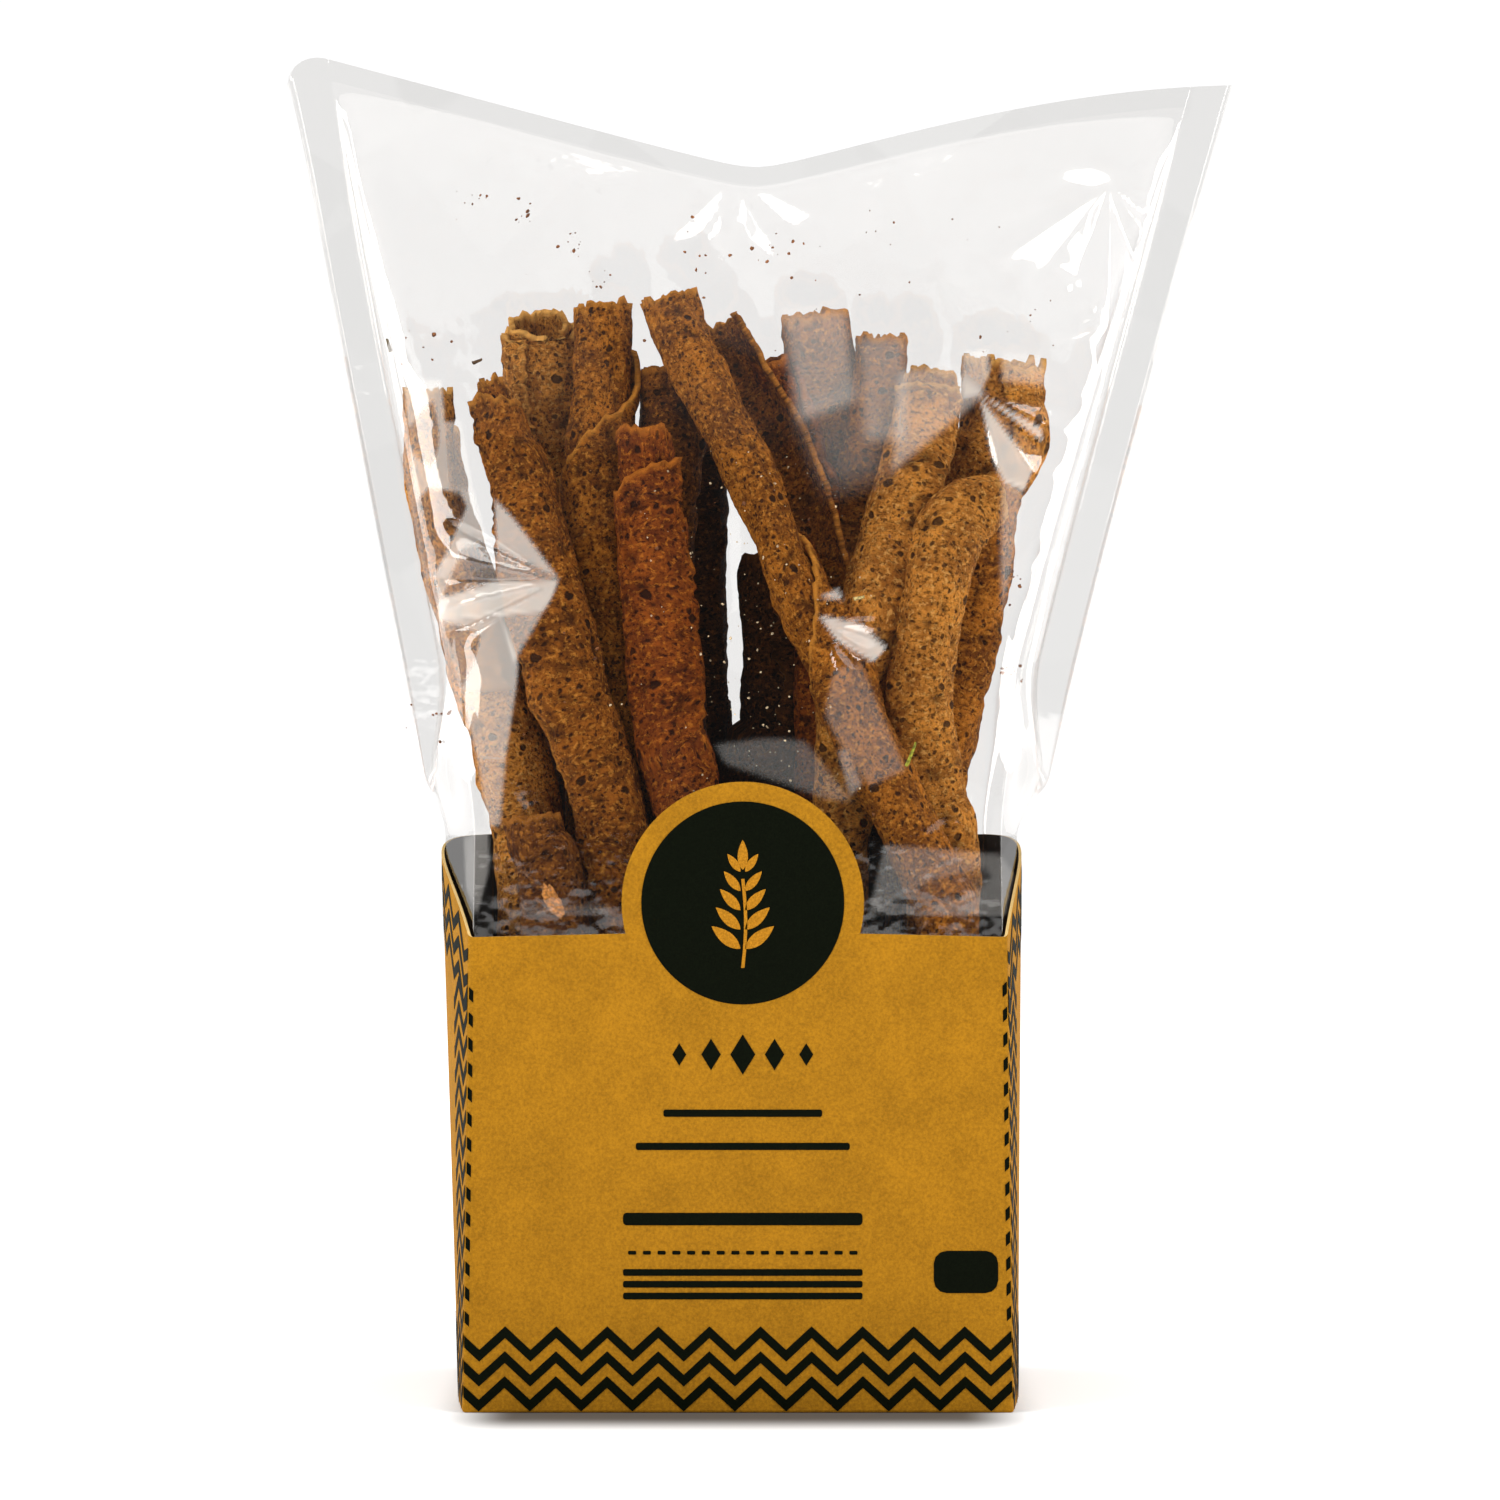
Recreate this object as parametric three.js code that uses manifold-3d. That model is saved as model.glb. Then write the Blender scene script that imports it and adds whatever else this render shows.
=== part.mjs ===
// A retail pack of rolled buckwheat breadsticks: an open kraft card tray whose front
// panel carries a round badge, and a clear film bag, sealed along both sides and
// across its top, that stands in the tray. The bag is one solid of its outer form.
// Millimetres, +Z up, the front faces -Y, the origin is the centre of the tray's base.
import * as THREE from 'three';
import Module from 'manifold-3d';
import { mergeVertices } from 'three/addons/utils/BufferGeometryUtils.js';

const wasm = await Module();
wasm.setup();

// Card tray
const TRAY_HALF_WIDTH = { base: 57.3, top: 55.7 }; // at the base and at the back's height
const TRAY_HALF_DEPTH = 41;
const CARD = 0.6;
const FRONT_CORNER_HEIGHT = 98.9; // where the front panel meets the sides
const FRONT_MIDDLE_RISE = 1.3; // the front edge climbs a little towards the badge
const BACK_HEIGHT = 119;
const SIDE_RISE_POWER = 3.1; // how soon a side's top edge climbs from front to back
const SIDE_BOW = { left: [2.7, 8.3], right: [2.7, 5.2] }; // outward, at base and rim
const BADGE_RADIUS = 25.2;
const BADGE_CENTRE = { x: 1, z: 106 };

// Film bag
const GAP = 0.35; // between the bag and the card
const SHOULDER = BACK_HEIGHT; // up to here the bag fills the tray
const TOP_VALLEY = { x: 3.7, z: 263.5 }; // lowest point of the top seal
const TOP_REACH = { left: 97.5, right: 106.5 };
const TOP_RISE = { left: 27, right: 17.7 };
const LEFT_CORNER_RADIUS = 9;
const SHOULDER_REACH = { left: 65, right: 64.5 };
const RIGHT_FLARE_POWER = 1.12;
const VALLEY_ROUNDING = 0.05; // as a share of the way out to a top corner
const SIDE_SEAL = 9; // width of the flat fins
const TOP_SEAL_SHARE = 0.97; // share of the height where the top seal starts
const SEAL_HALF_THICKNESS = 0.5;
const DEPTH_POWER = 1.8; // how the bag's depth runs out towards the seal
const ROUNDNESS = { shoulder: 8, top: 3 }; // exponents of the bag's section
const OPENING = { fin: 12, front: 3 }; // how soon above the tray the bag takes its own form
const OPENING_SPREAD = 5; // how soon round the bag the fin's way gives over to the front's

// Steps round and up the surfaces
const SIDE_STEPS = 8;
const FRONT_STEPS = 24;
const TRAY_LEVELS = 6;
const BAG_LEVELS = 22;
const FIN_STEPS = 4;
const BADGE_SEGMENTS = 96;

const mix = (a, b, t) => a + (b - a) * t;
const ease = (t) => t * t * (3 - 2 * t);
const unit = (t) => Math.min(1, Math.max(0, t));

// Half of a level outline, from the middle of the left side along the front to the
// middle of the right side. Each point keeps its depth share, 0 at the front panel.
function frontHalf(z, inset) {
  const height = unit(z / BACK_HEIGHT);
  const width = mix(TRAY_HALF_WIDTH.base, TRAY_HALF_WIDTH.top, height) - inset;
  const depth = TRAY_HALF_DEPTH - inset;
  const bow = (side, share) => mix(...SIDE_BOW[side], height) * Math.sin(Math.PI * share);
  const points = [];
  for (let i = 0; i < SIDE_STEPS; i++) {
    const share = 0.5 - (0.5 * i) / SIDE_STEPS;
    points.push({ x: -width - bow('left', share), y: mix(-depth, depth, share), share });
  }
  for (let i = 0; i < FRONT_STEPS; i++) {
    points.push({ x: mix(-width, width, i / FRONT_STEPS), y: -depth, share: 0 });
  }
  for (let i = 0; i <= SIDE_STEPS; i++) {
    const share = (0.5 * i) / SIDE_STEPS;
    points.push({ x: width + bow('right', share), y: mix(-depth, depth, share), share });
  }
  return points;
}

// The whole outline: the front half, then the same points mirrored to the back.
function closeOutline(half) {
  const back = half.slice(1, -1).reverse();
  return [...half, ...back.map((p) => ({ ...p, y: -p.y, share: 1 - p.share }))];
}

const trayOutline = (z, inset) => closeOutline(frontHalf(z, inset));

// A closed surface through rings of equal length. Both ends are closed by strips that
// join each point of the front half to its mirror at the back.
function loft(rings) {
  const count = rings[0].length;
  const position = rings.flat().flatMap((p) => [p.x, p.y, p.z]);
  const index = [];
  for (let k = 0; k + 1 < rings.length; k++) {
    for (let i = 0; i < count; i++) {
      const a = k * count + i;
      const b = k * count + ((i + 1) % count);
      index.push(a, b, b + count, a, b + count, a + count);
    }
  }
  const cap = (start, turn) => {
    for (let i = 0; i < count / 2; i++) {
      const corners = [i, i + 1, (count - i - 1) % count, (count - i) % count];
      const [a, b, c, d] = corners.map((n) => start + n);
      const faces = [[a, b, c], [a, c, d]];
      for (const face of faces) {
        if (new Set(face).size === 3) index.push(...(turn ? [...face].reverse() : face));
      }
    }
  };
  cap(0, true);
  cap((rings.length - 1) * count, false);
  const geometry = new THREE.BufferGeometry();
  geometry.setAttribute('position', new THREE.Float32BufferAttribute(position, 3));
  geometry.setIndex(index);
  return geometry;
}

// manifold-3d only joins and cuts closed meshes whose vertices are shared.
function toSolid(geometry) {
  const bare = geometry.clone();
  bare.deleteAttribute('normal');
  bare.deleteAttribute('uv');
  const merged = mergeVertices(bare, 1e-4);
  return new wasm.Manifold(new wasm.Mesh({
    numProp: 3,
    vertProperties: Float32Array.from(merged.attributes.position.array),
    triVerts: Uint32Array.from(merged.index.array),
  }));
}

function toGeometry(solid) {
  const mesh = solid.getMesh();
  const geometry = new THREE.BufferGeometry();
  geometry.setAttribute('position', new THREE.BufferAttribute(mesh.vertProperties, 3));
  geometry.setIndex(new THREE.BufferAttribute(mesh.triVerts, 1));
  return geometry;
}

// Height of the card's top edge at a point of the outline.
function rimHeight(point) {
  const climb = 1 - Math.pow(1 - point.share, SIDE_RISE_POWER);
  const middle = point.share === 0 ? 1 - Math.abs(point.x) / TRAY_HALF_WIDTH.top : 0;
  return mix(FRONT_CORNER_HEIGHT, BACK_HEIGHT, climb) + FRONT_MIDDLE_RISE * unit(middle);
}

// One wall surface of the tray, from its floor up to the rim.
function wallRings(inset, floor) {
  const rim = trayOutline(BACK_HEIGHT, inset).map(rimHeight);
  return Array.from({ length: TRAY_LEVELS + 1 }, (_, level) => {
    const share = level / TRAY_LEVELS;
    return rim.map((top, i) => {
      const z = mix(floor, top, share);
      const { x, y } = trayOutline(z, inset)[i];
      return { x, y, z };
    });
  });
}

function cardTray() {
  const shell = loft([...wallRings(0, 0), ...wallRings(CARD, CARD).reverse()]);
  const badge = new THREE.CylinderGeometry(BADGE_RADIUS, BADGE_RADIUS, CARD, BADGE_SEGMENTS);
  badge.translate(BADGE_CENTRE.x, -TRAY_HALF_DEPTH + CARD / 2, BADGE_CENTRE.z);
  return toGeometry(toSolid(shell).add(toSolid(badge)));
}

// Height of the bag's top edge at x.
function topEdge(x) {
  const side = x < TOP_VALLEY.x ? 'left' : 'right';
  const span = side === 'left' ? TOP_REACH.left + TOP_VALLEY.x : TOP_REACH.right - TOP_VALLEY.x;
  const share = unit(Math.abs(x - TOP_VALLEY.x) / span);
  const soft = Math.hypot(share, VALLEY_ROUNDING) - VALLEY_ROUNDING;
  const lift = side === 'left' ? soft : Math.sin((Math.PI / 2) * soft);
  const past = Math.max(0, -x - (TOP_REACH.left - LEFT_CORNER_RADIUS));
  const drop = LEFT_CORNER_RADIUS - Math.sqrt(Math.max(0, LEFT_CORNER_RADIUS ** 2 - past ** 2));
  return TOP_VALLEY.z + TOP_RISE[side] * lift - drop;
}

// Front half of the free bag's section at a share of the way from shoulder to seal:
// a flat fin at either side and a rounded body between them.
function bagFrontHalf(share, count) {
  const left = mix(SHOULDER_REACH.left, TOP_REACH.left, share);
  const right = mix(SHOULDER_REACH.right, TOP_REACH.right, Math.pow(share, RIGHT_FLARE_POWER));
  const fin = SIDE_SEAL * ease(unit(share * 4));
  const body = TRAY_HALF_DEPTH - CARD - GAP;
  const depthLeft = 1 - Math.pow(unit(share / TOP_SEAL_SHARE), DEPTH_POWER);
  const depth = Math.max(SEAL_HALF_THICKNESS, body * depthLeft);
  const power = 2 / mix(ROUNDNESS.shoulder, ROUNDNESS.top, share);
  const centre = (right - left) / 2;
  const half = (left + right) / 2 - fin;
  const points = [];
  for (let i = 0; i <= count; i++) {
    const fromSide = Math.min(i, count - i);
    const sideways = i < count / 2 ? -1 : 1;
    if (fromSide < FIN_STEPS) {
      const tip = sideways < 0 ? left : right;
      const x = sideways * (tip - (fin * fromSide) / FIN_STEPS);
      points.push({ x, y: fromSide === 0 ? 0 : -SEAL_HALF_THICKNESS });
      continue;
    }
    const angle = (Math.PI * (count - FIN_STEPS - i)) / (count - 2 * FIN_STEPS);
    const across = Math.cos(angle);
    const bulge = depth * Math.pow(Math.max(0, Math.sin(angle)), power);
    const x = centre + half * Math.sign(across) * Math.pow(Math.abs(across), power);
    points.push({ x, y: -Math.max(SEAL_HALF_THICKNESS, bulge) });
  }
  return points;
}

// The bag follows the tray up to its shoulder and opens into its own form above it.
function filmBag() {
  const floor = CARD + GAP;
  const inset = CARD + GAP;
  const fits = [0, 0.25, 0.5, 0.75, 1].map((share) => {
    const z = mix(floor, SHOULDER, share);
    return trayOutline(z, inset).map(({ x, y }) => ({ x, y, z }));
  });
  const inTray = frontHalf(SHOULDER, inset);
  const count = inTray.length - 1;
  const free = Array.from({ length: BAG_LEVELS }, (_, level) => {
    const share = (level + 1) / BAG_LEVELS;
    const half = bagFrontHalf(share, count).map((p, i) => {
      const fromFin = ease(unit((OPENING_SPREAD * Math.min(i, count - i)) / count));
      const blend = ease(unit(share * mix(OPENING.fin, OPENING.front, fromFin)));
      return { x: mix(inTray[i].x, p.x, blend), y: mix(inTray[i].y, p.y, blend), share: 0 };
    });
    return closeOutline(half).map(({ x, y }) => ({ x, y, z: mix(SHOULDER, topEdge(x), share) }));
  });
  return loft([...fits, ...free]);
}

function part(name, geometry, colour, roughness) {
  const material = new THREE.MeshStandardMaterial({ color: colour, roughness, metalness: 0 });
  const mesh = new THREE.Mesh(geometry, material);
  mesh.name = name;
  return mesh;
}

const pack = new THREE.Group();
pack.add(part('card_tray', cardTray(), '#bf8730', 0.85));
pack.add(part('film_bag', filmBag(), '#d9cdbf', 0.15));

export default pack;
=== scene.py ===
# %% [markdown]
# # A pack of rolled breadsticks
# The object is a retail pack: buckwheat crepes rolled into sticks, a clear bag that is
# welded shut round them, and an open card tray that the bag stands in. The exact model
# of the tray and the bag comes first, as a fixed frame. Everything made below goes
# where that frame says, in the same coordinates: metres, +Z up, front towards -Y.

# %% Load the frame
import random
from math import atan2, cos, degrees, exp, hypot, pi, radians, sin, sqrt
import bmesh
import bpy
from mathutils import Matrix, Vector, noise


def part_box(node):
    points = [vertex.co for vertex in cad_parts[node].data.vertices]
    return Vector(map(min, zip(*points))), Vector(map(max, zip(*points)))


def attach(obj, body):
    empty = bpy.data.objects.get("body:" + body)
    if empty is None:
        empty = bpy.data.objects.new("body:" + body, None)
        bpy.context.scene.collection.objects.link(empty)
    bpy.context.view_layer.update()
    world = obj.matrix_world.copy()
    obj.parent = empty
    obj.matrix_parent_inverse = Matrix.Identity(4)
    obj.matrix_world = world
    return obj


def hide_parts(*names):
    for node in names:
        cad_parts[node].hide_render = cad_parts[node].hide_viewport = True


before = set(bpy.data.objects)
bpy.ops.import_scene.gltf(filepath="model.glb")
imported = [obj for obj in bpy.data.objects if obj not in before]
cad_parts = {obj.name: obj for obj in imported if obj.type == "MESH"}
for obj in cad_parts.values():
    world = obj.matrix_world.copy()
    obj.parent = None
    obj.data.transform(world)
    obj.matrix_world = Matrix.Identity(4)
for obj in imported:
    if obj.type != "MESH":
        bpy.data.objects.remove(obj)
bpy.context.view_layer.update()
MM = 0.001  # lengths below are named in millimetres
TRAY_LOW, TRAY_HIGH = [corner / MM for corner in map(Vector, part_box("card_tray"))]
BAG_LOW, BAG_HIGH = [corner / MM for corner in map(Vector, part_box("film_bag"))]
print("tray", TRAY_LOW, TRAY_HIGH)
print("bag", BAG_LOW, BAG_HIGH)

# %% [markdown]
# ## Camera
# The photograph was taken with a long lens from straight ahead, level with the middle
# of the pack. The camera comes first, because the sticks are placed by what it sees. A
# length measured on the plane of the front panel is right only there, so `seen` slides
# a measured point back along its line of sight to the depth where the thing really is.

# %% Camera
EYE = Vector((2.5, -1141, 137.8))  # where the lens stands
FRONT_PLANE = -41.0


def stand(name, data):
    """A new object in the scene."""
    thing = bpy.data.objects.new(name, data)
    bpy.context.scene.collection.objects.link(thing)
    return thing


def seen(x, z, y):
    """The point at depth y that the camera sees over (x, z) of the front plane."""
    spread = (y - EYE.y) / (FRONT_PLANE - EYE.y)
    return Vector((EYE.x + (x - EYE.x) * spread, y, EYE.z + (z - EYE.z) * spread))


camera_data = bpy.data.cameras.new("camera")
camera_data.lens = 127
camera_data.sensor_width = 36
camera_data.clip_start = 0.01
camera = stand("camera", camera_data)
camera.location = EYE * MM
camera.rotation_euler = (pi / 2, 0, 0)
bpy.context.scene.camera = camera
print("camera stands", round(-EYE.y), "mm in front")

# %% [markdown]
# ## Small helpers
# `mix`, `unit` and `ease` blend numbers. `ripple` is smooth random relief, and `rough`
# the same at a chosen wavelength. `finish` turns a bmesh in millimetres into a finished
# object in metres that rides on the pack's one body. `bevel` rounds edges or corners,
# and `thicken` gives a sheet its thickness.

# %% Helpers
def mix(a, b, t):
    return a + (b - a) * t


def unit(t):
    return min(1.0, max(0.0, t))


def ease(t):
    t = unit(t)
    return t * t * (3 - 2 * t)


def ripple(x, y, z):
    """Smooth noise from -1 to 1 that changes over about one unit."""
    return noise.noise(Vector((x, y, z)))


def rough(point, wavelength, seed=0.0):
    """Smooth noise from -1 to 1 that changes over about one wavelength."""
    return noise.noise(Vector(point) / wavelength + Vector((seed, 7.3 * seed, 3.1 * seed)))


def finish(bm, name, materials, smooth=True):
    bmesh.ops.scale(bm, vec=(MM, MM, MM), verts=bm.verts)
    mesh = bpy.data.meshes.new(name)
    bm.to_mesh(mesh)
    bm.free()
    if smooth:
        mesh.shade_smooth()
    for material in materials:
        mesh.materials.append(material)
    piece = stand(name, mesh)
    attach(piece, "root")
    print(name, len(mesh.polygons), "faces")
    return piece


def bevel(bm, geom, offset, segments, affect="EDGES"):
    bmesh.ops.bevel(bm, geom=geom, offset=offset, segments=segments, profile=0.5,
                    affect=affect, material=-1)


def thicken(piece, name, thickness, side):
    """Solidify, in millimetres: side -1 grows inwards, 0 both ways and 1 outwards."""
    skin = piece.modifiers.new(name, "SOLIDIFY")
    skin.thickness = thickness * MM
    skin.offset = side
    return skin


print("half way, eased:", ease(0.5))

# %% [markdown]
# ## Writing shaders as sums
# A material is a network of nodes, and most of it is plain arithmetic. The class `Wire`
# wraps one output socket, so that `1 - mask * 0.5` adds the Math nodes that it stands
# for. `Finish.node` adds any other node from its type, its settings and its sockets.

# %% Shader arithmetic
class Wire:
    def __init__(self, finish_of, socket):
        self.finish = finish_of
        self.socket = socket

    def math(self, operation, first, second):
        return self.finish.node("Math", {"operation": operation}, {0: first, 1: second})

    def __add__(self, other):
        return self.math("ADD", self, other)

    def __sub__(self, other):
        return self.math("SUBTRACT", self, other)

    def __rsub__(self, other):
        return self.math("SUBTRACT", other, self)

    def __mul__(self, other):
        return self.math("MULTIPLY", self, other)

    def __gt__(self, other):
        return self.math("GREATER_THAN", self, other)

    def step(self, low, high):
        """0 below low and 1 above high, smoothly between; turned round if low > high."""
        return self.finish.node(
            "MapRange",
            {"interpolation_type": "SMOOTHSTEP"},
            {"Value": self, "From Min": low, "From Max": high},
        )


class Finish:
    """One material, or a world, and the nodes that make it."""

    def __init__(self, name, kind="materials"):
        self.material = getattr(bpy.data, kind).new(name)
        self.material.use_nodes = True
        self.tree = self.material.node_tree
        self.tree.nodes.clear()

    def node(self, kind, settings=None, sockets=None, out=0):
        made = self.tree.nodes.new("ShaderNode" + kind)
        for key, value in (settings or {}).items():
            setattr(made, key, value)
        for key, value in (sockets or {}).items():
            socket = made.inputs[key]
            if isinstance(value, Wire):
                self.tree.links.new(value.socket, socket)
            else:
                socket.default_value = value
        return Wire(self, made.outputs[out]) if made.outputs else None

    def blend(self, factor, first, second, way="MIX"):
        """Colours are mixed by a Mix node, because a Math node would turn them grey."""
        settings = {"data_type": "RGBA", "blend_type": way}
        return self.node("Mix", settings, {0: factor, 6: first, 7: second}, out=2)

    def place(self):
        """The spot on the object, in metres."""
        return self.node("TexCoord", out="Object")

    def painted(self, name):
        """A number that the mesh carries at each vertex."""
        return self.node("Attribute", {"attribute_name": name}, out="Fac")

    def channel(self, colour, number):
        return self.node("SeparateColor", {}, {0: colour}, out=number)

    def axis(self, place, name):
        return self.node("SeparateXYZ", {}, {0: place}, out=name)

    def cells(self, place, scale, out="Distance"):
        sockets = {"Vector": place, "Scale": scale, "Randomness": 1.0}
        return self.node("TexVoronoi", {}, sockets, out)

    def noise(self, place, scale, detail=3.0, roughness=0.5):
        sockets = {"Vector": place, "Scale": scale, "Detail": detail, "Roughness": roughness}
        return self.node("TexNoise", {}, sockets)

    def bump(self, height, distance, strength=1.0):
        sockets = {"Height": height, "Distance": distance, "Strength": strength}
        return self.node("Bump", {}, sockets)

    def least(self, first, second):
        return self.node("Math", {"operation": "MINIMUM"}, {0: first, 1: second})

    def skin(self, sockets):
        """The whole material: one Principled shader with these sockets."""
        return self.close(self.node("BsdfPrincipled", {}, sockets))

    def close(self, surface, output="OutputMaterial"):
        self.node(output, {}, {"Surface": surface})
        return self.material


def paint(red, green, blue):
    """A colour read off a screen, 0 to 255, as the linear values that nodes expect."""
    def linear(level):
        share = level / 255
        return share / 12.92 if share <= 0.04045 else ((share + 0.055) / 1.055) ** 2.4
    return (linear(red), linear(green), linear(blue), 1.0)


def shade(colour, by):
    return (*[unit(level * by) for level in colour[:3]], 1.0)


print("kraft is", [round(level, 3) for level in paint(191, 133, 27)])

# %% [markdown]
# ## Finishes of the card
# The tray is die-cut from brown kraft board. Its outside has short fibres and a faint
# mottle, its inside is dark, and where it is cut the pale core shows as a thin
# cream line. The black print lies on the board as a thin coat with a little more gloss.

# %% Kraft board, its dark inside, its cut edge and the print
def kraft_board(name, colour, spread):
    f = Finish(name)
    place = f.place()
    fibres = f.noise(place, 1700, 4.0, 0.75)
    cloud = f.noise(place, 90, 3.0, 0.6)
    speck = f.noise(place, 4200, 2.0, 0.5).step(0.62, 0.72)
    tone = (fibres * 0.75 + cloud * 0.25).step(0.3, 0.7)
    base = f.blend(tone, *[shade(colour, by) for by in (1 - spread, 1 + spread)])
    base = f.blend(speck * 0.35, base, shade(colour, 0.45))
    skin = {"Base Color": base, "Roughness": 0.8, "Specular IOR Level": 0.12}
    skin["Normal"] = f.bump(fibres, 0.00006)
    return f.skin(skin)


def printed(name, colour):
    f = Finish(name)
    place = f.place()
    fibres = f.noise(place, 2400, 4.0, 0.7)
    skin = {
        "Base Color": f.blend(fibres.step(0.3, 0.75), shade(colour, 0.75), shade(colour, 1.35)),
        "Roughness": 0.6,
        "Specular IOR Level": 0.03,
        "Normal": f.bump(fibres, 0.00003),
    }
    return f.skin(skin)


KRAFT = kraft_board("kraft_outside", paint(159, 109, 16), 0.3)
DARK_SIDE = kraft_board("kraft_inside", paint(46, 38, 30), 0.2)
CUT_EDGE = kraft_board("kraft_cut_edge", paint(214, 184, 122), 0.08)
BLACK = printed("print_black", paint(9, 13, 5))
PALE_INK = printed("print_kraft_tone", paint(172, 116, 28))
print("card finishes:", *[look.name for look in (KRAFT, DARK_SIDE, CUT_EDGE, BLACK, PALE_INK)])

# %% [markdown]
# ## The tray's walls
# The tray is one strip of card folded round four corners. Its front and back are flat,
# its sides bow outwards, and the top edge of each side sweeps up from the low front to
# the high back. `round_tray` gives any point of the wall from a distance along the
# strip, so the walls and everything printed on them share one formula.

# %% The tray's form
HALF_WIDTH = 57.3  # at the base; the panel narrows a little upwards
TOP_HALF_WIDTH = 55.7
HALF_DEPTH = (TRAY_HIGH.y - TRAY_LOW.y) / 2
CARD = 0.6
FRONT_CORNER_HEIGHT = 98.9
FRONT_MIDDLE_RISE = 1.3
BACK_HEIGHT = 119.0
SIDE_RISE_POWER = 3.1
SIDE_BOW = {"left": (2.7, 8.3), "right": (2.7, 5.2)}
BADGE_RADIUS = 25.2
BADGE_X = 1.0
BADGE_Z = TRAY_HIGH.z - BADGE_RADIUS
FRONT, RIGHT, BACK, LEFT = range(4)
PANEL_LENGTH = (2 * HALF_WIDTH, 2 * HALF_DEPTH, 2 * HALF_WIDTH, 2 * HALF_DEPTH)


def half_width(z):
    return mix(HALF_WIDTH, TOP_HALF_WIDTH, unit(z / BACK_HEIGHT))


def side_bow(side, z):
    return mix(*SIDE_BOW[side], unit(z / BACK_HEIGHT))


def round_tray(panel, share, z, out=0.0):
    """A point of the wall: its panel, the share along it counted anticlockwise from
    the front's left end, its height, and how far it stands off the card."""
    wide = half_width(z)
    if panel == FRONT:
        return Vector((mix(-wide, wide, share), -HALF_DEPTH - out, z))
    if panel == BACK:
        return Vector((mix(wide, -wide, share), HALF_DEPTH + out, z))
    side = "right" if panel == RIGHT else "left"
    bow = side_bow(side, z) * sin(pi * share)
    slope = side_bow(side, z) * pi * cos(pi * share) / (2 * HALF_DEPTH)
    along = share if panel == RIGHT else 1 - share
    sign = 1 if panel == RIGHT else -1
    y = mix(-HALF_DEPTH, HALF_DEPTH, along)
    normal = Vector((1, -slope)).normalized()
    return Vector((sign * (wide + bow + out * normal.x), y + sign * out * normal.y, z))


def front_edge(x):
    """The front's top edge climbs to the badge and is level behind it."""
    reach = max(abs(x - BADGE_X), BADGE_RADIUS - 0.8)
    return FRONT_CORNER_HEIGHT + FRONT_MIDDLE_RISE * (1 - reach / HALF_WIDTH)


def rim(panel, share):
    if panel == FRONT:
        return front_edge(mix(-HALF_WIDTH, HALF_WIDTH, share))
    if panel == BACK:
        return BACK_HEIGHT
    back_share = share if panel == RIGHT else 1 - share
    climb = 1 - (1 - back_share) ** SIDE_RISE_POWER
    return mix(FRONT_CORNER_HEIGHT, BACK_HEIGHT, climb)


print("front edge", round(front_edge(-HALF_WIDTH), 1), "to", round(front_edge(0), 1), "mm")

# %% [markdown]
# A grid operator gives a flat sheet of squares. Bending it round the tray closes it
# into a tube, whose two ends are welded, and whose open bottom is filled. The four
# upright folds are then bevelled, because folded card never has a knife edge. Last, a
# Solidify modifier gives the card its thickness, with one material for the outside,
# one for the inside and one for the cut edge.

# %% Tray
PANEL_COLUMNS = (112, 30, 28, 30)
WALL_ROWS = 24
FOLD_RADIUS = 0.9
FLOOR_FOLD_RADIUS = 0.5


def panel_of(column):
    for panel, count in enumerate(PANEL_COLUMNS):
        if column < count:
            return panel, column / count
        column -= count
    return FRONT, 0.0


def walls():
    bm = bmesh.new()
    columns = sum(PANEL_COLUMNS)
    bmesh.ops.create_grid(bm, x_segments=columns, y_segments=WALL_ROWS, size=0.5)
    for vert in bm.verts:
        panel, share = panel_of(round((vert.co.x + 0.5) * columns) % columns)
        height = rim(panel, share) * (vert.co.y + 0.5)
        vert.co = round_tray(panel, share, height)
    bmesh.ops.remove_doubles(bm, verts=bm.verts, dist=0.001)
    return bm


def round_folds(bm):
    folds = []
    for edge in bm.edges:
        a, b = [vert.co for vert in edge.verts]
        at_corner = all(abs(abs(end.x) - half_width(end.z)) < 0.01
                        and abs(abs(end.y) - HALF_DEPTH) < 0.01 for end in (a, b))
        if at_corner and abs(a.z - b.z) > 0.01:
            folds.append(edge)
    bevel(bm, folds, FOLD_RADIUS, 3)
    return len(folds)


def on_badge(lift):
    """Stands a flat circle upright round the badge's centre, that far off the card."""
    place = Matrix.Translation((BADGE_X, -HALF_DEPTH - lift, BADGE_Z))
    return place @ Matrix.Rotation(pi / 2, 4, "X")


def badge_plate(bm):
    """The badge rises from the front panel: a disc without the part below the edge."""
    made = bmesh.ops.create_circle(bm, cap_ends=True, segments=160, radius=BADGE_RADIUS,
                                   matrix=on_badge(0))
    disc = set(made["verts"])
    faces = [face for face in bm.faces if disc.issuperset(face.verts)]
    edges = {edge for face in faces for edge in face.edges}
    bmesh.ops.bisect_plane(bm, geom=[*disc, *edges, *faces], dist=0.0001,
                           plane_co=(0, 0, front_edge(0)), plane_no=(0, 0, 1),
                           clear_inner=True)
    for face in bm.faces:
        face.normal_update()
        if len(face.verts) > 20 and face.normal.y > 0.5:
            face.normal_flip()


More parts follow.
